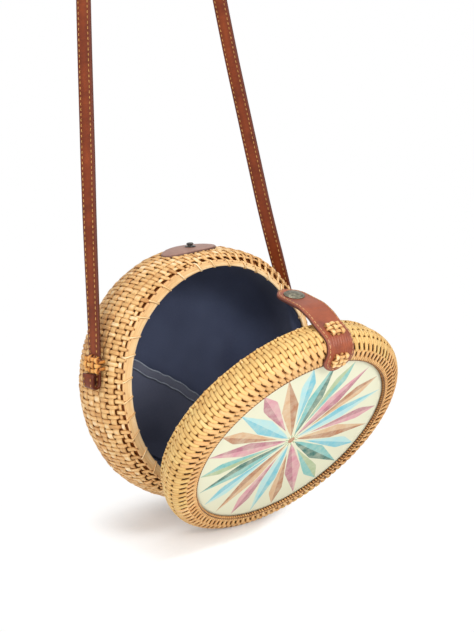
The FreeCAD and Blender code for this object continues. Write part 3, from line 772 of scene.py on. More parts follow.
# Each stop of a lashing: its radius, its depth, and the directions outwards and to the front.
LASHING_END = RIM_RADIUS - WALL - 1.0
LASHING_STOPS = [
    (RIM_RADIUS + 0.3, 6.4, 1, 0), (RIM_RADIUS + 0.45, 3.0, 1, 0), (RIM_RADIUS + 0.2, 0.9, 0.7, 0.7),
    (RIM_RADIUS - 1.4, 0.42, 0.2, 1), (HOOP_MIDDLE, 0.42, 0, 1), (MOUTH_RADIUS + 1.4, 0.42, -0.2, 1),
    (MOUTH_RADIUS - 0.2, 0.9, -0.7, 0.7), (MOUTH_RADIUS - 0.4, 3.0, -1, 0), (LASHING_END, 5.4, -1, 0)]
CORE_BACK, CORE_IN, CORE_THICK = 2.0, 1.2, 1.2
HOOP_TURNS = 200


def hoop_scale(radius, angle, side):
    """How far the rear half's hoop leaves the round. The lid's hoop stays round."""
    if side < 0:
        return 1.0 + 0.0 * angle
    outer_share = np.clip((radius - MOUTH_RADIUS) / HOOP_FACE, 0.0, 1.0)
    full, flare, drawn, narrow = rear_lobes(angle)
    return 1 + 0.2 * full + flare - drawn - outer_share * narrow


def rim(name, side, body):
    """Flat bent cane hoop with rounded edges."""
    shape = Shape()
    angle = turns_of(HOOP_TURNS)
    outer, inner = [radius * hoop_scale(radius, angle, side) for radius in (RIM_RADIUS, MOUTH_RADIUS)]
    middle = (outer + inner) / 2 + 0.12 * np.sin(5 * angle + 1.0)
    place = round_axis(middle, side * (RIM_GAP + HOOP_BACK) / 2, angle)
    normal = (0.0, -side, 0.0)
    tint = 0.56 + 0.06 * np.sin(3 * angle)
    half, thick = (outer - inner) / 2, (HOOP_BACK - RIM_GAP) / 2
    # The hoop's inner edge is lighter and its outer edge darker: painted highlight on the rounded inner edge.
    strand(shape, place, normal, half, thick, tint, HOOP, edge_tint=0.0, closed=True, painted_side_light=0.16 * side)
    core = place + (0, side * CORE_BACK, 0)
    strand(shape, core, normal, half - CORE_IN, CORE_THICK, 0.3, FLAT, edge_tint=0.0, closed=True)
    shape.piece(name + "_bent", [PALE_CANE], body, "cane_pale", name)


def lashings(name, side, body):
    """Thin cane strips wound slantwise over the hoop."""
    shape = Shape()
    for index in range(LASHING_COUNT):
        angle = TAU * (index + 0.5 + rng.uniform(-0.12, 0.12)) / LASHING_COUNT
        path, normals = [], []
        for radius, depth, out, fore in LASHING_STOPS:
            turn = angle + LASHING_SLANT * (HOOP_MIDDLE - radius) / HOOP_FACE
            follows = MOUTH_RADIUS if radius == LASHING_END else radius
            path.append(round_axis(radius * hoop_scale(follows, turn, side), side * depth, turn))
            normals.append(round_axis(out, -side * fore, turn))
        strand(shape, path, normals, LASHING_HALF, LASHING_THICK, rng.uniform(0.86, 1.0))
    shape.piece(name + "_strips", [GOLD_CANE], body, "cane", name)


# Lining and pocket

LINING_THICK, POCKET_THICK = 0.5, 0.6
LINING_TURNS, LINING_ROWS = 144, 64
LINING_MIDDLE, LINING_INSET, LINING_BACK = 0.6, 4.7, 1.0
REAR_WRINKLE, LID_WRINKLE, WRINKLE_START = (11.0, 0.2), (13.0, 0.18), 12.0
POCKET_HALF, POCKET_LOW, POCKET_HIGH = 52.0, -71.0, -9.0
POCKET_SLANT = math.radians(30)
HEM_LOW, HEM_HIGH = POCKET_HIGH - 7.0, POCKET_HIGH + 0.4
HEM_SWELL, HEM_PUFF, HEM_PROUD, HEM_THREAD = 0.62, 0.15, 0.4, 0.26
HEM_SEAMS = {-1: 0.34, 1: 0.16}
POCKET_REST, POCKET_BULGE, POCKET_SAG = 0.9, 4.6, 0.9
LID_FLOOR, LID_WALL_RUN, LID_INSET, DISC_INSET, DISC_LIFT = -20.6, 17.0, WALL + 0.6, 1.0, 0.35


def lining_depth(radius):
    """Depth of the rear lining's inside at a radius, on its flat back and rounded corner."""
    corner = REAR_DEPTH - REAR_BULGE - WALL - LINING_BACK
    past = np.maximum(radius - (MAX_RADIUS - REAR_DEPTH + REAR_BULGE), 0.0)
    return REAR_BULGE + np.sqrt(np.maximum(corner ** 2 - past ** 2, 0.0))


def wrinkle(points, scale, amount):
    """Soft waves over a cloth, from a few crossing sines."""
    x, y, z = points[..., 0] / scale, points[..., 1] / scale, points[..., 2] / scale
    wave = np.sin(2.1 * x + 1.3 * z + 0.4) * np.sin(1.7 * z - 0.9 * y + 1.1)
    return amount * (wave + 0.5 * np.sin(4.3 * z + 2.7 * x + y))


def thicken(made, thickness):
    modifier = made.modifiers.new("thickness", "SOLIDIFY")
    modifier.thickness = thickness * MM
    modifier.offset = 0.0


def rear_lining():
    shape = Shape()
    run, angle = np.linspace(0.0, REAR.run_at(LINING_MIDDLE), LINING_ROWS)[:, None], turns_of(LINING_TURNS)
    flat, _ = REAR.points(run, angle, -WALL - LINING_THICK)
    height = -WALL - 1.5 * LINING_THICK + wrinkle(flat, *REAR_WRINKLE) * smooth(run / WRINKLE_START)
    points, _ = REAR.points(run, angle, height)
    shape.add(points, cup_faces(LINING_ROWS, LINING_TURNS))
    made = shape.piece("rear_lining_cloth", [NAVY_CLOTH], "rear_half", "lining", "rear_lining")
    thicken(made, LINING_THICK)
    radius = REAR.at(run)[0]
    area = float(np.sum(TAU * (radius[1:] - LINING_INSET) * np.diff(run, axis=0))) * MM ** 2


def pocket_points(u, v, swell=0.0):
    """Points of the pocket's cloth, which hangs away from the lining towards its open top."""
    rise = step(v, POCKET_LOW, POCKET_HIGH - POCKET_LOW)
    open_share = np.maximum(1 - (u / POCKET_HALF) ** 2, 0.0) ** 0.7
    sag = POCKET_SAG * np.sin(u / 9.0 + 0.05 * v) * rise * open_share
    lift = POCKET_REST + POCKET_BULGE * rise * open_share + sag + swell
    pucker = 0.8 * np.sin(u / 10.0 + 0.6) + 0.4 * np.sin(u / 2.5 + np.sin(u / 7.0))
    x = u * math.cos(POCKET_SLANT) + v * math.sin(POCKET_SLANT)
    z = -u * math.sin(POCKET_SLANT) + v * math.cos(POCKET_SLANT) + pucker * rise
    return xyz(x, lining_depth(np.sqrt(x ** 2 + z ** 2)) - lift, z)


def pocket():
    shape, hem = Shape(), Shape()
    u = np.linspace(-POCKET_HALF, POCKET_HALF, 61)
    rows, hem_rows = 41, 9
    points = pocket_points(u, np.linspace(POCKET_LOW, POCKET_HIGH, rows)[:, None])
    shape.add(points, grid_faces(rows, len(u), False, False))
    made = shape.piece("pocket_cloth", [POCKET_CLOTH], "rear_half", "lining", "lining_pocket")
    swell = HEM_SWELL + HEM_PUFF * np.sin(np.linspace(0, math.pi, hem_rows))[:, None]
    points = pocket_points(u, np.linspace(HEM_LOW, HEM_HIGH, hem_rows)[:, None], swell)
    hem.add(points, grid_faces(hem_rows, len(u), False, False))
    for row, half in HEM_SEAMS.items():
        line = points[row] - (0, HEM_PROUD, 0)
        strand(hem, line, (0.0, -1.0, 0.0), half, HEM_THREAD, 0.5, ROUND, edge_tint=0.0, slot=1)
    fold = hem.piece("pocket_hem", [HEM_CLOTH, EDGE_THREAD], "rear_half", "lining")
    for each in (made, fold):
        thicken(each, POCKET_THICK)


def lid_lining():
    shape = Shape()
    angle = turns_of(LINING_TURNS)
    wall, _ = LID.points(np.linspace(0.0, LID.flat_start, 60)[:, None], angle, -LID_INSET)
    wall = wall[wall[:, 0, 1] > LID_FLOOR]
    edge = math.hypot(wall[-1, 0, 0], wall[-1, 0, 2])
    disc = round_axis(np.linspace(edge - DISC_INSET, LINING_MIDDLE, 36)[:, None], LID_FLOOR, angle)
    disc[..., 1] += DISC_LIFT + wrinkle(disc, *LID_WRINKLE)
    points = np.concatenate([wall, disc])
    shape.add(points, cup_faces(len(points), LINING_TURNS))
    made = shape.piece("lid_lining_cloth", [NAVY_CLOTH], "lid", "lining", "lid_lining")
    thicken(made, LINING_THICK)


# Printed panel: a compass rosette of kites and rings

PRINT_SECTORS, SECTOR_COLUMNS = 12, 12
LONG_KITE = (5.0, 38.0, 79.5, 8.4)
SHORT_KITE = (17.0, 62.0, 79.5, 6.4)
CENTRE_RADIUS, COLLAR_RADIUS = 3.0, 6.0
PRINT_RADII = [1.0, CENTRE_RADIUS, 5.0, COLLAR_RADIUS, *np.arange(8.0, 80.0, 3.0), LONG_KITE[2], PRINT_RADIUS]
LONG_INKS = [("teal", "deep"), ("pink", "rose"), ("blue", "sky"), ("tan", "clay")]
SHORT_INKS = [("sage", "teal"), ("clay", "tan"), ("rose", "pink"), ("sky", "blue")]


def kite(radius, low, wide, high, most):
    """Half width of a pointed kite at a radius."""
    rising = most * (radius - low) / (wide - low)
    falling = most * (high - radius) / (high - wide)
    return max(0.0, min(rising, falling))


def print_turns(radius):
    """Angles of the print's columns at a radius, from one kite's edge to the next."""
    half = math.pi / PRINT_SECTORS
    long_half = min(kite(radius, *LONG_KITE) / radius, 0.62 * half)
    short_half = min(kite(radius, *SHORT_KITE) / radius, 0.37 * half)
    steps = [0.0, long_half / 2, long_half, (long_half + half - short_half) / 2, half - short_half,
             half - short_half / 2]
    whole = [-half] + [-turn for turn in reversed(steps[1:])] + steps
    return (turns_of(PRINT_SECTORS)[:, None] + whole).ravel()


def print_ink(radius, column, sector):
    """Name of the ink at a radius and column of a sector."""
    if radius < CENTRE_RADIUS:
        return "clay"
    if radius < COLLAR_RADIUS:
        return "sage" if column % 4 < 2 else "cream"
    light, dark = LONG_INKS[sector % 4]
    if column in (4, 5):
        return light
    if column in (6, 7):
        return dark
    if radius > SHORT_KITE[0] and column in (10, 11):
        return SHORT_INKS[sector % 4][0]
    if radius > SHORT_KITE[0] and column in (0, 1):
        return SHORT_INKS[(sector - 1) % 4][1]
    return "ground"


def printed_panel():
    shape = Shape()
    points = np.concatenate([round_axis(radius, PRINT_FRONT, print_turns(radius)) for radius in PRINT_RADII])
    points[:, 1] += 0.04 * np.sin(points[:, 0] / 9.0) * np.cos(points[:, 2] / 11.0)
    around = SECTOR_COLUMNS * PRINT_SECTORS
    back = points[-around:] * (1, 0, 1) + (0, PRINT_BACK, 0)
    shape.add(np.concatenate([points, back]), cup_faces(len(PRINT_RADII) + 1, around, True))
    inks = []
    for low, high in zip(PRINT_RADII, PRINT_RADII[1:]):
        for column in range(around):
            inks.append(print_ink((low + high) / 2, column % SECTOR_COLUMNS, column // SECTOR_COLUMNS))
    names = list(INKS)
    shape.slots = [names.index(each) for each in inks + ["ground"] * around + ["clay", "ground"]]
    materials = [ink("ink_" + name, shade) for name, shade in INKS.items()]
    shape.piece("panel_rosette", materials, "lid", "print", "panel_print", weld=True)


# Leather tab, laid out by the distance from its foot

HALF_LEATHER = LEATHER / 2
TAB_FRONT = -LID_DEPTH - HALF_LEATHER
TAB_CORNER = LID_DEPTH - LID_BULGE + HALF_LEATHER
CORNER_START = MAX_RADIUS - (LID_DEPTH - LID_BULGE) - TAB_FOOT
CORNER_END = CORNER_START + TAB_CORNER * math.pi / 2
ROOT_START = CORNER_END + LID_BULGE + FLEX_Y
FLAP_START = ROOT_START + ROOT_LENGTH
TAB_LENGTH = FLAP_START + FLAP_REACH + TAB_HALF
TAB_SEAM = ROOT_START + ROOT_LENGTH / 2
ROOT_BEND, FLAP_BEND, SEAM_EASE = 4.0, 4.5, 0.6
FLAT_RUN = (ROOT_START - 9.0, 9.0)
FOLD_RISE, FOLD_FALL, FOLD_HEIGHT = (CORNER_START + 2.0, 5.0), (CORNER_END - 4.0, 6.0), 0.2
SWELLS, SWELL_RUN, TIP_LEAST = ((0.11, 9.0), (-0.04, 24.0)), 6.0, 0.3
TAB_STEP = 0.1
tab_runs = np.arange(0.0, TAB_LENGTH + 2.0, TAB_STEP)
tab_turns = math.pi / 2 * (1 - np.clip((tab_runs - CORNER_START) / (CORNER_END - CORNER_START), 0, 1))
tab_turns = tab_turns + ROOT_REST * step(tab_runs, ROOT_START - ROOT_BEND, 2 * ROOT_BEND)
tab_turns = tab_turns + FLAP_REST * step(tab_runs, FLAP_START - FLAP_BEND, 2 * FLAP_BEND)
tab_y = TAB_FRONT + np.concatenate([[0], np.cumsum(np.cos(tab_turns[:-1]) * TAB_STEP)])
tab_z = TAB_FOOT + np.concatenate([[0], np.cumsum(np.sin(tab_turns[:-1]) * TAB_STEP)])


def tab_points(run, across=0.0, height=0.0):
    """Points on the tab, by the distances from its foot and its middle and the height over it."""
    turn, y, z = [np.interp(run, tab_runs, values) for values in (tab_turns, tab_y, tab_z)]
    bend = MAX_RADIUS - np.sqrt(np.maximum(MAX_RADIUS ** 2 - across ** 2, 0.0))
    drop = bend * np.cos(turn) * (1 - step(run, *FLAT_RUN))
    fold = FOLD_HEIGHT * step(run, *FOLD_RISE) * (1 - step(run, *FOLD_FALL))
    ripple = fold * np.sin(across * 2.7 + 0.5 * np.sin(run * 0.4))
    rise = height + ripple * np.sign(height)
    return xyz(across, y - np.sin(turn) * rise, z + np.cos(turn) * rise - drop)


def tab_half(run):
    """Half width of the tab, which has a round end at each side."""
    near = np.minimum(np.minimum(run, TAB_LENGTH - run), TAB_HALF)
    swell = 1 + sum(share * np.exp(-((run - at) / SWELL_RUN) ** 2) for share, at in SWELLS)
    return np.sqrt(np.maximum(TAB_HALF ** 2 - (TAB_HALF - near) ** 2, TIP_LEAST)) * swell


STITCH, STITCH_GAP, STITCH_IN, STITCH_HALF, STITCH_THICK = 2.4, 1.1, 1.9, 0.26, 0.22
STITCH_RISE = np.array([-0.1, 0.16, 0.16, -0.1])
FACE_POINTS = 47
EDGE_SHARES = np.concatenate([[-1, -0.95], np.linspace(-0.86, 0.86, FACE_POINTS), [0.95, 1]])
EDGE_PUFF = np.concatenate([[0.45, 0.85], np.ones(FACE_POINTS), [0.85, 0.45]])


def tab_seam():
    """One side's stitches round the tab, each as four points along it and across it."""
    radius = TAB_HALF - STITCH_IN
    quarter = radius * math.pi / 2
    straight = TAB_LENGTH - 2 * TAB_HALF
    place = STITCH_GAP / 2
    while place + STITCH < 2 * quarter + straight:
        along = place + np.linspace(0, STITCH, 4)
        foot, tip = along / radius, (along - quarter - straight) / radius
        at_foot, at_tip = along < quarter, along > quarter + straight
        run = np.where(at_foot, TAB_HALF - radius * np.cos(foot), TAB_HALF + along - quarter)
        run = np.where(at_tip, TAB_LENGTH - TAB_HALF + radius * np.sin(tip), run)
        x = np.where(at_foot, radius * np.sin(foot), radius)
        yield run, np.where(at_tip, radius * np.cos(tip), x)
        place += STITCH + STITCH_GAP


def tab_piece(name, first, last, body, *nodes):
    """Part of the leather tab from one distance to another, with its stitching."""
    shape = Shape()
    inner = np.arange(max(first, TAB_HALF), min(last, TAB_LENGTH - TAB_HALF) + 0.01, 1.0)
    quarter = TAB_HALF * (1 - np.cos(np.linspace(0, math.pi / 2, 10)[:-1]))
    runs = [inner, TAB_LENGTH - quarter] if last == TAB_LENGTH else [quarter, inner, [last]]
    runs = np.unique(np.round(np.concatenate(runs), 3))
    shares = np.concatenate([EDGE_SHARES, EDGE_SHARES[::-1]])
    across = tab_half(runs)[:, None] * shares
    height = HALF_LEATHER * np.concatenate([EDGE_PUFF, -EDGE_PUFF[::-1]])
    points = tab_points(runs[:, None], across, height)
    tint = np.broadcast_to(np.where(np.abs(shares) > 0.97, 0.15, 1.0), across.shape)
    shape.add(points, cup_faces(len(runs), len(shares), True), tint, xyz(runs[:, None], across, height))
    for sign in (1, -1):
        for run, x in tab_seam():
            if first <= (run[0] + run[-1]) / 2 < last:
                path = tab_points(run, sign * x, HALF_LEATHER + STITCH_RISE)
                face = tab_points(run, sign * x, HALF_LEATHER)
                above = unit(tab_points(run, sign * x, HALF_LEATHER + 2.0) - face)
                strand(shape, path, above, STITCH_HALF, STITCH_THICK, 0.5, ROUND, edge_tint=0.0, slot=1)
    materials = [BROWN_LEATHER, CREAM_THREAD]
    return shape.piece(name, materials, body, "leather", *nodes, on_snap=True, rides=False)


def at_tab(run):
    return Vector(in_row(tab_points(run), True, True))


def closing_tab():
    lower = tab_piece("tab_leather_lower", 0.0, TAB_SEAM, "lid", "closure_tab", "tab_root")
    at_tab(ROOT_START - ROOT_BEND)
    at_tab(TAB_SEAM - SEAM_EASE)
    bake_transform(lower)
    upper = tab_piece("tab_leather_upper", TAB_SEAM, TAB_LENGTH, "flap", "tab_flap")
    at_tab(TAB_SEAM + SEAM_EASE)
    at_tab(FLAP_START + FLAP_BEND)
    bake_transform(upper)


# Snap, each piece as an outline of (radius, height) points, and the leather patch under its stud

CAP = [(0.3, 2.3), (2.4, 2.2), (4.4, 1.85), (5.0, 1.55), (5.5, 1.6), (6.8, 1.15), (7.6, 0.5), (7.8, 0.1),
       (7.4, 0.0), (0.3, 0.0)]
CUP = [(3.3, -0.1), (3.3, -2.4), (3.6, -2.8), (4.5, -2.75), (4.9, -2.3), (5.0, -0.9), (5.0, 0.0)]
KNOB = [(0.2, 3.2), (1.9, 3.05), (2.7, 2.6), (2.9, 2.1), (2.7, 1.75), (2.1, 1.55), (2.0, 0.7), (3.6, 0.6),
        (4.4, 0.35), (4.5, 0.0), (0.2, -0.3)]
ROOT_RISE = 5.4
STUD_Y = FLEX_Y + math.sqrt(ROOT_LENGTH ** 2 - ROOT_RISE ** 2) + FLAP_REACH
PATCH_THICK, PATCH_LONG, PATCH_WIDE, PATCH_SHIFT, PATCH_LIFT = 1.8, 25.0, 13.0, -1.7, 0.15
PATCH_TURNS = 64


def snap():
    spot = FLAP_START + FLAP_REACH
    middle = tab_points(spot)
    along = unit(tab_points(spot + 0.5) - middle)
    out = np.cross((1.0, 0.0, 0.0), along)
    cap, socket, stud = Shape(), Shape(), Shape()
    lathe(cap, CAP, middle + out * HALF_LEATHER, out, along)
    cap.piece("snap_cap_domed", [BRASS], "flap", "snap", "snap_cap", on_snap=True)
    lathe(socket, CUP, middle - out * HALF_LEATHER, out, along, ring=True)
    socket.piece("snap_socket_cup", [GUNMETAL], "flap", "snap", "snap_socket", on_snap=True)
    lathe(stud, KNOB, (0, STUD_Y, MAX_RADIUS + PATCH_THICK), (0, 0, 1), (1, 0, 0), steps=32)
    stud.piece("snap_stud_knob", [GUNMETAL], "rear_half", "snap", "snap_stud", on_snap=True)


def stud_patch():
    """Oval leather patch under the stud, bent over the shell."""
    shape = Shape()
    share = np.concatenate([np.linspace(0.04, 0.9, 9), [0.955, 0.985, 1.0]])[:, None]
    thick = np.concatenate([np.ones(9), [0.96, 0.8, 0.35]])[:, None]
    angle = turns_of(PATCH_TURNS)
    x = PATCH_SHIFT + PATCH_LONG * share * np.cos(angle)
    y = STUD_Y + PATCH_WIDE * share * np.sin(angle)
    bend = np.where(y < REAR_BULGE, REAR.lip, REAR.corner)
    run = REAR.lip_run + bend * np.arcsin(np.clip((y - REAR_BULGE) / bend, -1, 1))
    turn = np.arcsin(x / REAR.at(run)[0])
    top, _ = REAR.points(run, turn, PATCH_THICK * thick + PATCH_LIFT)
    low, _ = REAR.points(run, turn, 0.0)
    points = np.concatenate([top, low[::-1]])
    edge = np.concatenate([np.where(share > 0.97, 0.2, 1.0) + 0 * x, np.full(x.shape, 0.2)])
    shape.add(points, cup_faces(len(points), PATCH_TURNS, True), edge)
    shape.piece("stud_patch_leather", [TAN_LEATHER], "rear_half", "leather", "stud_patch", on_snap=True)


# Woven cane knots, by their width, length, strips each way and thickness

TAB_KNOT = (14.0, 11.0, (3, 3), 2.7)
TAB_KNOT_RUNS = {"tab_knot_upper": CORNER_END + 1.5, "tab_knot_lower": 10.8}
STRAP_KNOT = (18.0, 13.4, (3, 4), 3.4)
KNOT_STANDOFF, KNOT_SINK = 1.4, 0.2
TAIL_EDGE, TAIL_LANE, TAIL_HALF, TAIL_THICK = 7.4, 2.6, 1.5, 0.6
TAIL_STOPS = [(0.4, 0.0), (-0.9, 0.1), (-3.2, 0.0), (-5.0, 0.0)]


def woven_knot(shape, place, width, length, counts, thick):
    """A small pad plaited from strips both ways, with their ends tucked under. Place gives its points."""
    steps = np.linspace(-1, 1, 21)
    tuck = smooth((np.abs(steps) - 0.84) / 0.16)
    for along_width in (True, False):
        own_size, other_size = (width, length) if along_width else (length, width)
        own_count, other_count = counts if along_width else counts[::-1]
        half = other_size / own_count / 2
        for index in range(own_count):
            offset = ((index + 0.5) / own_count - 0.5) * other_size
            bow = 1 - 0.24 * (2 * offset / other_size) ** 2
            cross = (steps * bow + 1) / 2 * other_count - 0.5
            sign = 1 if (index + along_width) % 2 == 0 else -1
            wave = sign * np.cos(math.pi * cross)
            height = thick * (0.42 + 0.32 * wave * (1 - tuck) - 0.6 * tuck + 0.14 * (1 - steps ** 2))
            own = steps * own_size / 2 * bow
            aside = offset * (1 - 0.08 * steps ** 2)
            u, v = (own, aside) if along_width else (aside, own)
            path = place(u, v, height)
            normals = unit(place(u, v, height + 1.0) - path)
            # Tucked ends and the strips passing under are darker: painted shade.
            shade = rng.uniform(0.72, 0.95) - 0.25 * tuck - 0.16 * (1 - wave)
            strand(shape, path, normals, half * 0.84 * (1 - 0.35 * tuck), thick * 0.28, shade)


def tab_knots():
    for name, run in TAB_KNOT_RUNS.items():
        shape = Shape()
        woven_knot(shape, lambda u, v, h: tab_points(run + v, u, HALF_LEATHER - KNOT_SINK + h), *TAB_KNOT)
        shape.piece(name + "_plait", [GOLD_CANE], "lid", "cane", name, on_snap=True)


def strap_knots():
    for name, side in (("strap_knot_left", -1), ("strap_knot_right", 1)):
        shape = Shape()
        centre = np.array([side * (STRAP_X + KNOT_STANDOFF), ANCHOR_Y, ANCHOR_Z])
        woven_knot(shape, lambda u, v, h: centre + xyz(side * h, u, v), *STRAP_KNOT)
        for edge in (-TAIL_EDGE, TAIL_EDGE):
            for lane in (-TAIL_LANE, TAIL_LANE):
                path = [centre + (side * out, edge + share * edge, lane) for out, share in TAIL_STOPS]
                strand(shape, path, (0.0, math.copysign(1, edge), 0.0), TAIL_HALF, TAIL_THICK, 0.58)
        shape.piece(name + "_plait", [KNOT_CANE], "strap", "cane", name)


# Shoulder strap

TWIST_RUNS = {-1: 150.0, 1: 70.0}
STRAP_SWAY = {-1: -1.2, 1: -4.4}
FOLD, FOLD_Z = 3.0, 7.0
TAIL_HEIGHTS, BACK_HEIGHTS = (14.4, 11.5, 8.5), (7.5, 11.0, 15.0)
STRAP_STEP, LOOP_STEPS = 8.0, 24
SEAM_OUT, SEAM_START, SEAM_END, SEAM_PITCH, SEAM_STITCH = 4.1, 3.0, 6.0, 4.0, 2.0
SEAM_HALF, SEAM_THICK, SEAM_PROUD = 0.36, 0.3, 0.2
SWAY_RISE, SWAY_FALL = 120.0, (220.0, 190.0)
across = np.array([math.cos(STRAP_TWIST), math.sin(STRAP_TWIST), 0.0])
rise = LOOP_CENTRE - (0, ANCHOR_Y, ANCHOR_Z)
rise = unit(rise - across * (rise @ across))
lean_in = math.atan2(STRAP_X - LOOP_RADIUS, LOOP_CENTRE[2] - ANCHOR_Z)


def loop_point(angle):
    return LOOP_CENTRE + across * LOOP_RADIUS * math.cos(angle) + rise * LOOP_RADIUS * math.sin(angle)


def strap_half(side):
    """Points and flat directions from the folded tail at one side up to the loop."""
    lows = [(2 * FOLD, height) for height in TAIL_HEIGHTS]
    for turn in np.linspace(0.15, 0.85, 6) * math.pi:
        lows.append((FOLD + FOLD * math.cos(turn), FOLD_Z - FOLD * math.sin(turn)))
    lows += [(0.0, height) for height in BACK_HEIGHTS]
    points = [(side * (STRAP_X + out), ANCHOR_Y, height) for out, height in lows]
    flats = [0.0] * len(points)
    foot = np.array([side * STRAP_X, ANCHOR_Y, ANCHOR_Z])
    top = loop_point(lean_in if side > 0 else math.pi - lean_in)
    length = float(np.linalg.norm(top - foot))
    for run in np.arange(0.0, length, STRAP_STEP):
        sway = STRAP_SWAY[side] * float(smooth(run / SWAY_RISE) * (1 - step(run, *SWAY_FALL)))
        points.append(foot + (top - foot) * run / length + (sway, 0, 0))
        flats.append(STRAP_TWIST * min(1.0, run / TWIST_RUNS[side]))
    return points, flats


def shoulder_strap():
    left, left_flats = strap_half(-1)
    right, right_flats = strap_half(1)
    sweep = math.pi - 2 * lean_in
    arc = [loop_point(math.pi - lean_in - sweep * k / LOOP_STEPS) for k in range(LOOP_STEPS + 1)]
    path = np.array(left + arc + right[::-1])
    turns = np.array(left_flats + [STRAP_TWIST] * len(arc) + right_flats[::-1])
    along = unit(np.gradient(path, axis=0))
    flat = xyz(np.sin(turns), -np.cos(turns), 0 * turns)
    flat = unit(flat - along * np.sum(flat * along, 1, keepdims=True))
    proud = np.cross(flat, along)
    aside = np.cross(along, proud)
    shape = Shape()
    strand(shape, path, proud, STRAP_WIDTH / 2, STRAP_THICK / 2, 1.0, STRAP, edge_tint=0.85)
    run = run_along(path)
    lift = STRAP_THICK / 2 + np.array([0.0, SEAM_PROUD, 0.0])[:, None]

    def along_strap(values, places):
        return np.stack([np.interp(places, run, values[:, k]) for k in range(3)], -1)

    for offset in (-SEAM_OUT, SEAM_OUT):
        for face in (1, -1):
            for start in np.arange(SEAM_START, run[-1] - SEAM_END, SEAM_PITCH):
                places = start + np.linspace(0, SEAM_STITCH, 3)
                up = along_strap(proud, places) * face
                line = along_strap(path, places) + along_strap(aside, places) * offset + up * lift
                strand(shape, line, up, SEAM_HALF, SEAM_THICK, 0.5, edge_tint=0.0, slot=1)
    shape.piece("strap_leather", [STRAP_LEATHER, TAN_THREAD], "strap", "leather", "shoulder_strap")


# Hinge

ROD = [(1.6, -36.0), (2.3, -35.2), (2.4, -20.0), (2.35, 0.0), (2.4, 20.0), (2.3, 35.2), (1.6, 36.0)]
LOOP_TURN_RADIUS, LOOP_HALF, LOOP_THICK = 3.2, 3.4, 0.65
LEG_REACHES, LEG_HALF, LEG_THICK, LEG_LIFT = (2.8, 5.0, 7.5, 10.0), 3.2, 0.7, 0.2

# Each half's loops: the body, the leg's side, the leg's slope and the distance from the middle.
HINGE_SIDES = {"rear": ("rear_half", 1, math.radians(45), 28.0), "lid": ("lid", -1, math.radians(30), 10.0)}


def hinge():
    rod = Shape()
    lathe(rod, ROD, (0, 0, HINGE_Z), (1, 0, 0), (0, 0, 1), tint=0.6, steps=20)
    rod.piece("hinge_rod_cane", [GOLD_CANE], "rear_half", "cane", "hinge_rod")
    turn = turns_of(28)
    outward = xyz(0.0, np.cos(turn), np.sin(turn))
    for half, (body, side, leg, out) in HINGE_SIDES.items():
        ahead = np.array([0.0, side * math.cos(leg), math.sin(leg)])
        above = np.array([0.0, -side * math.sin(leg), math.cos(leg)])
        for hand, x in (("left", -out), ("right", out)):
            shape = Shape()
            centre = np.array([x, 0, HINGE_Z])
            ring = centre + LOOP_TURN_RADIUS * outward
            strand(shape, ring, outward, LOOP_HALF, LOOP_THICK, 0.7, FLAT, edge_tint=0.4, closed=True)
            tail = [centre + ahead * reach + above * LEG_LIFT for reach in LEG_REACHES]
            strand(shape, tail, above, LEG_HALF, LEG_THICK, 0.66, FLAT, edge_tint=0.4)
            name = f"{half}_hinge_loop_{hand}"
            shape.piece(name + "_cane", [GOLD_CANE], body, "cane", name)


def keep_nodes():
    """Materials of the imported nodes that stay: hidden pieces of the panel and the rivet."""
    for name, material in (("front_panel", BOARD), ("panel_hoop", PALE_CANE), ("stud_rivet", GUNMETAL)):
        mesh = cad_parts[name].data
        mesh.materials.clear()
        mesh.materials.append(material)


# Stage, in metres

CAMERA_PLACE = (-0.6304, -0.8806, -0.3799)
CAMERA_TARGET = (0.0158, -0.133, -0.53313)
CAMERA_LENS, CAMERA_SENSOR = 73.05, 36.0
LAMP_TARGET = (0.0, -0.15, -0.58)
LAMPS = [("key", (-0.12, -1.4, -0.02), 0.35, 8.5), ("top", (0.0, -0.3, 0.9), 1.2, 7.2),
         ("side", (-1.1, -0.5, 0.1), 0.9, 7.0), ("low", (-0.75, -0.95, -0.66), 0.7, 3.2),
         ("right", (0.7, -1.1, 0.1), 0.8, 2.4)]
WORLD_LEVEL = 0.48
WHITE = (1.0, 1.0, 1.0, 1.0)
FLOOR_HALF = 4.0
FLOOR_HEIGHT = cad_box[0].z - MM
CONTACT = (-0.01, -0.165, FLOOR_HEIGHT)
FLOOR_AHEAD, LEAST_AHEAD = (1.2, -4.0, 0.0), -0.042


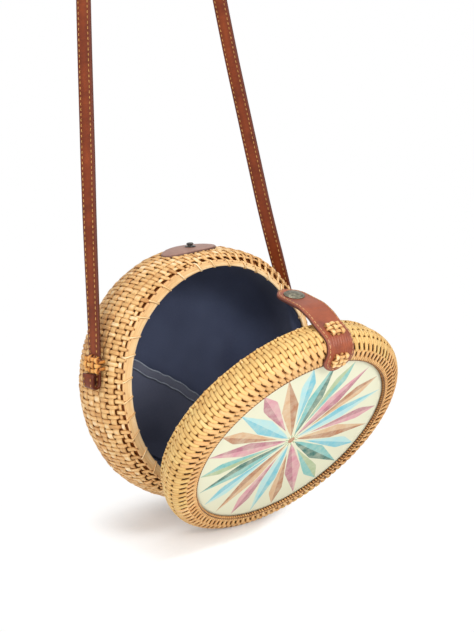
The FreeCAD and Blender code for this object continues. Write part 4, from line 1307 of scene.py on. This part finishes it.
def floor():
    """Pale floor that keeps the shadow near the contact and fades into the white further out."""
    mesh = bpy.data.meshes.new("floor")
    sides = ((-1, -1), (1, -1), (1, 1), (-1, 1))
    corners = [(x * FLOOR_HALF, y * FLOOR_HALF, FLOOR_HEIGHT) for x, y in sides]
    mesh.from_pydata(corners, [], [(0, 1, 2, 3)])
    look = Look("pale_floor", Roughness=0.9, Specular_IOR_Level=0.1, Emission_Color=WHITE)
    look.set(Base_Color=look.ramp(look.noise(look.place(), scale=90.0), [(0.0, "f4f4f4"), (1.0, "fafafa")]))
    seen = look.seen()
    offset = look.vector_math("SUBTRACT", "Vector", look.place(), CONTACT)
    ahead = look.vector_math("DOT_PRODUCT", "Value", offset, FLOOR_AHEAD)
    away = look.vector_math("LENGTH", "Value", offset)
    reach = look.math("ADD", away, look.math("MAXIMUM", ahead, LEAST_AHEAD))
    glow = look.spread(reach, low=0.0, high=0.6, start=0.03, stop=0.12, way="SMOOTHSTEP")
    look.set(Emission_Strength=look.math("MULTIPLY", seen, glow))
    fade = look.spread(reach, low=0.2, high=0.99, start=0.02, stop=0.15, way="SMOOTHSTEP")
    clear = look.node("BsdfTransparent", {}).outputs["BSDF"]
    mixed = {0: look.math("MULTIPLY", seen, fade), 1: look.shader.outputs["BSDF"], 2: clear}
    surface = look.node("MixShader", mixed).outputs["Shader"]
    look.feed(look.tree.nodes["Material Output"].inputs["Surface"], surface)
    mesh.materials.append(look.material)
    add_object("floor", mesh)


def studio():
    """Camera, white surroundings and lamps."""
    scene = bpy.context.scene
    scene.camera = add_object("camera", bpy.data.cameras.new("camera"), CAMERA_PLACE, CAMERA_TARGET)
    scene.camera.data.sensor_width = CAMERA_SENSOR
    scene.camera.data.lens = CAMERA_LENS
    scene.world = bpy.data.worlds.new("studio")
    scene.world.use_nodes = True
    sky = Nodes(scene.world.node_tree)
    back = sky.tree.nodes["Background"].inputs
    sky.feed(back["Color"], WHITE)
    sky.feed(back["Strength"], sky.spread(sky.seen(), WORLD_LEVEL, 1.0))
    for name, place, size, power in LAMPS:
        lamp = add_object(name, bpy.data.lights.new(name, "AREA"), place, LAMP_TARGET)
        lamp.data.size = size
        lamp.data.energy = power
    scene.view_settings.view_transform = "Standard"


rear_weave()
back_weave()
lid_weave()
rim("rear_rim_hoop", 1, "rear_half")
rim("lid_rim_hoop", -1, "lid")
lashings("rear_rim_lashing", 1, "rear_half")
lashings("lid_rim_lashing", -1, "lid")
rear_lining()
pocket()
lid_lining()
printed_panel()
closing_tab()
snap()
stud_patch()
tab_knots()
strap_knots()
shoulder_strap()
hinge()
keep_nodes()
studio()
floor()
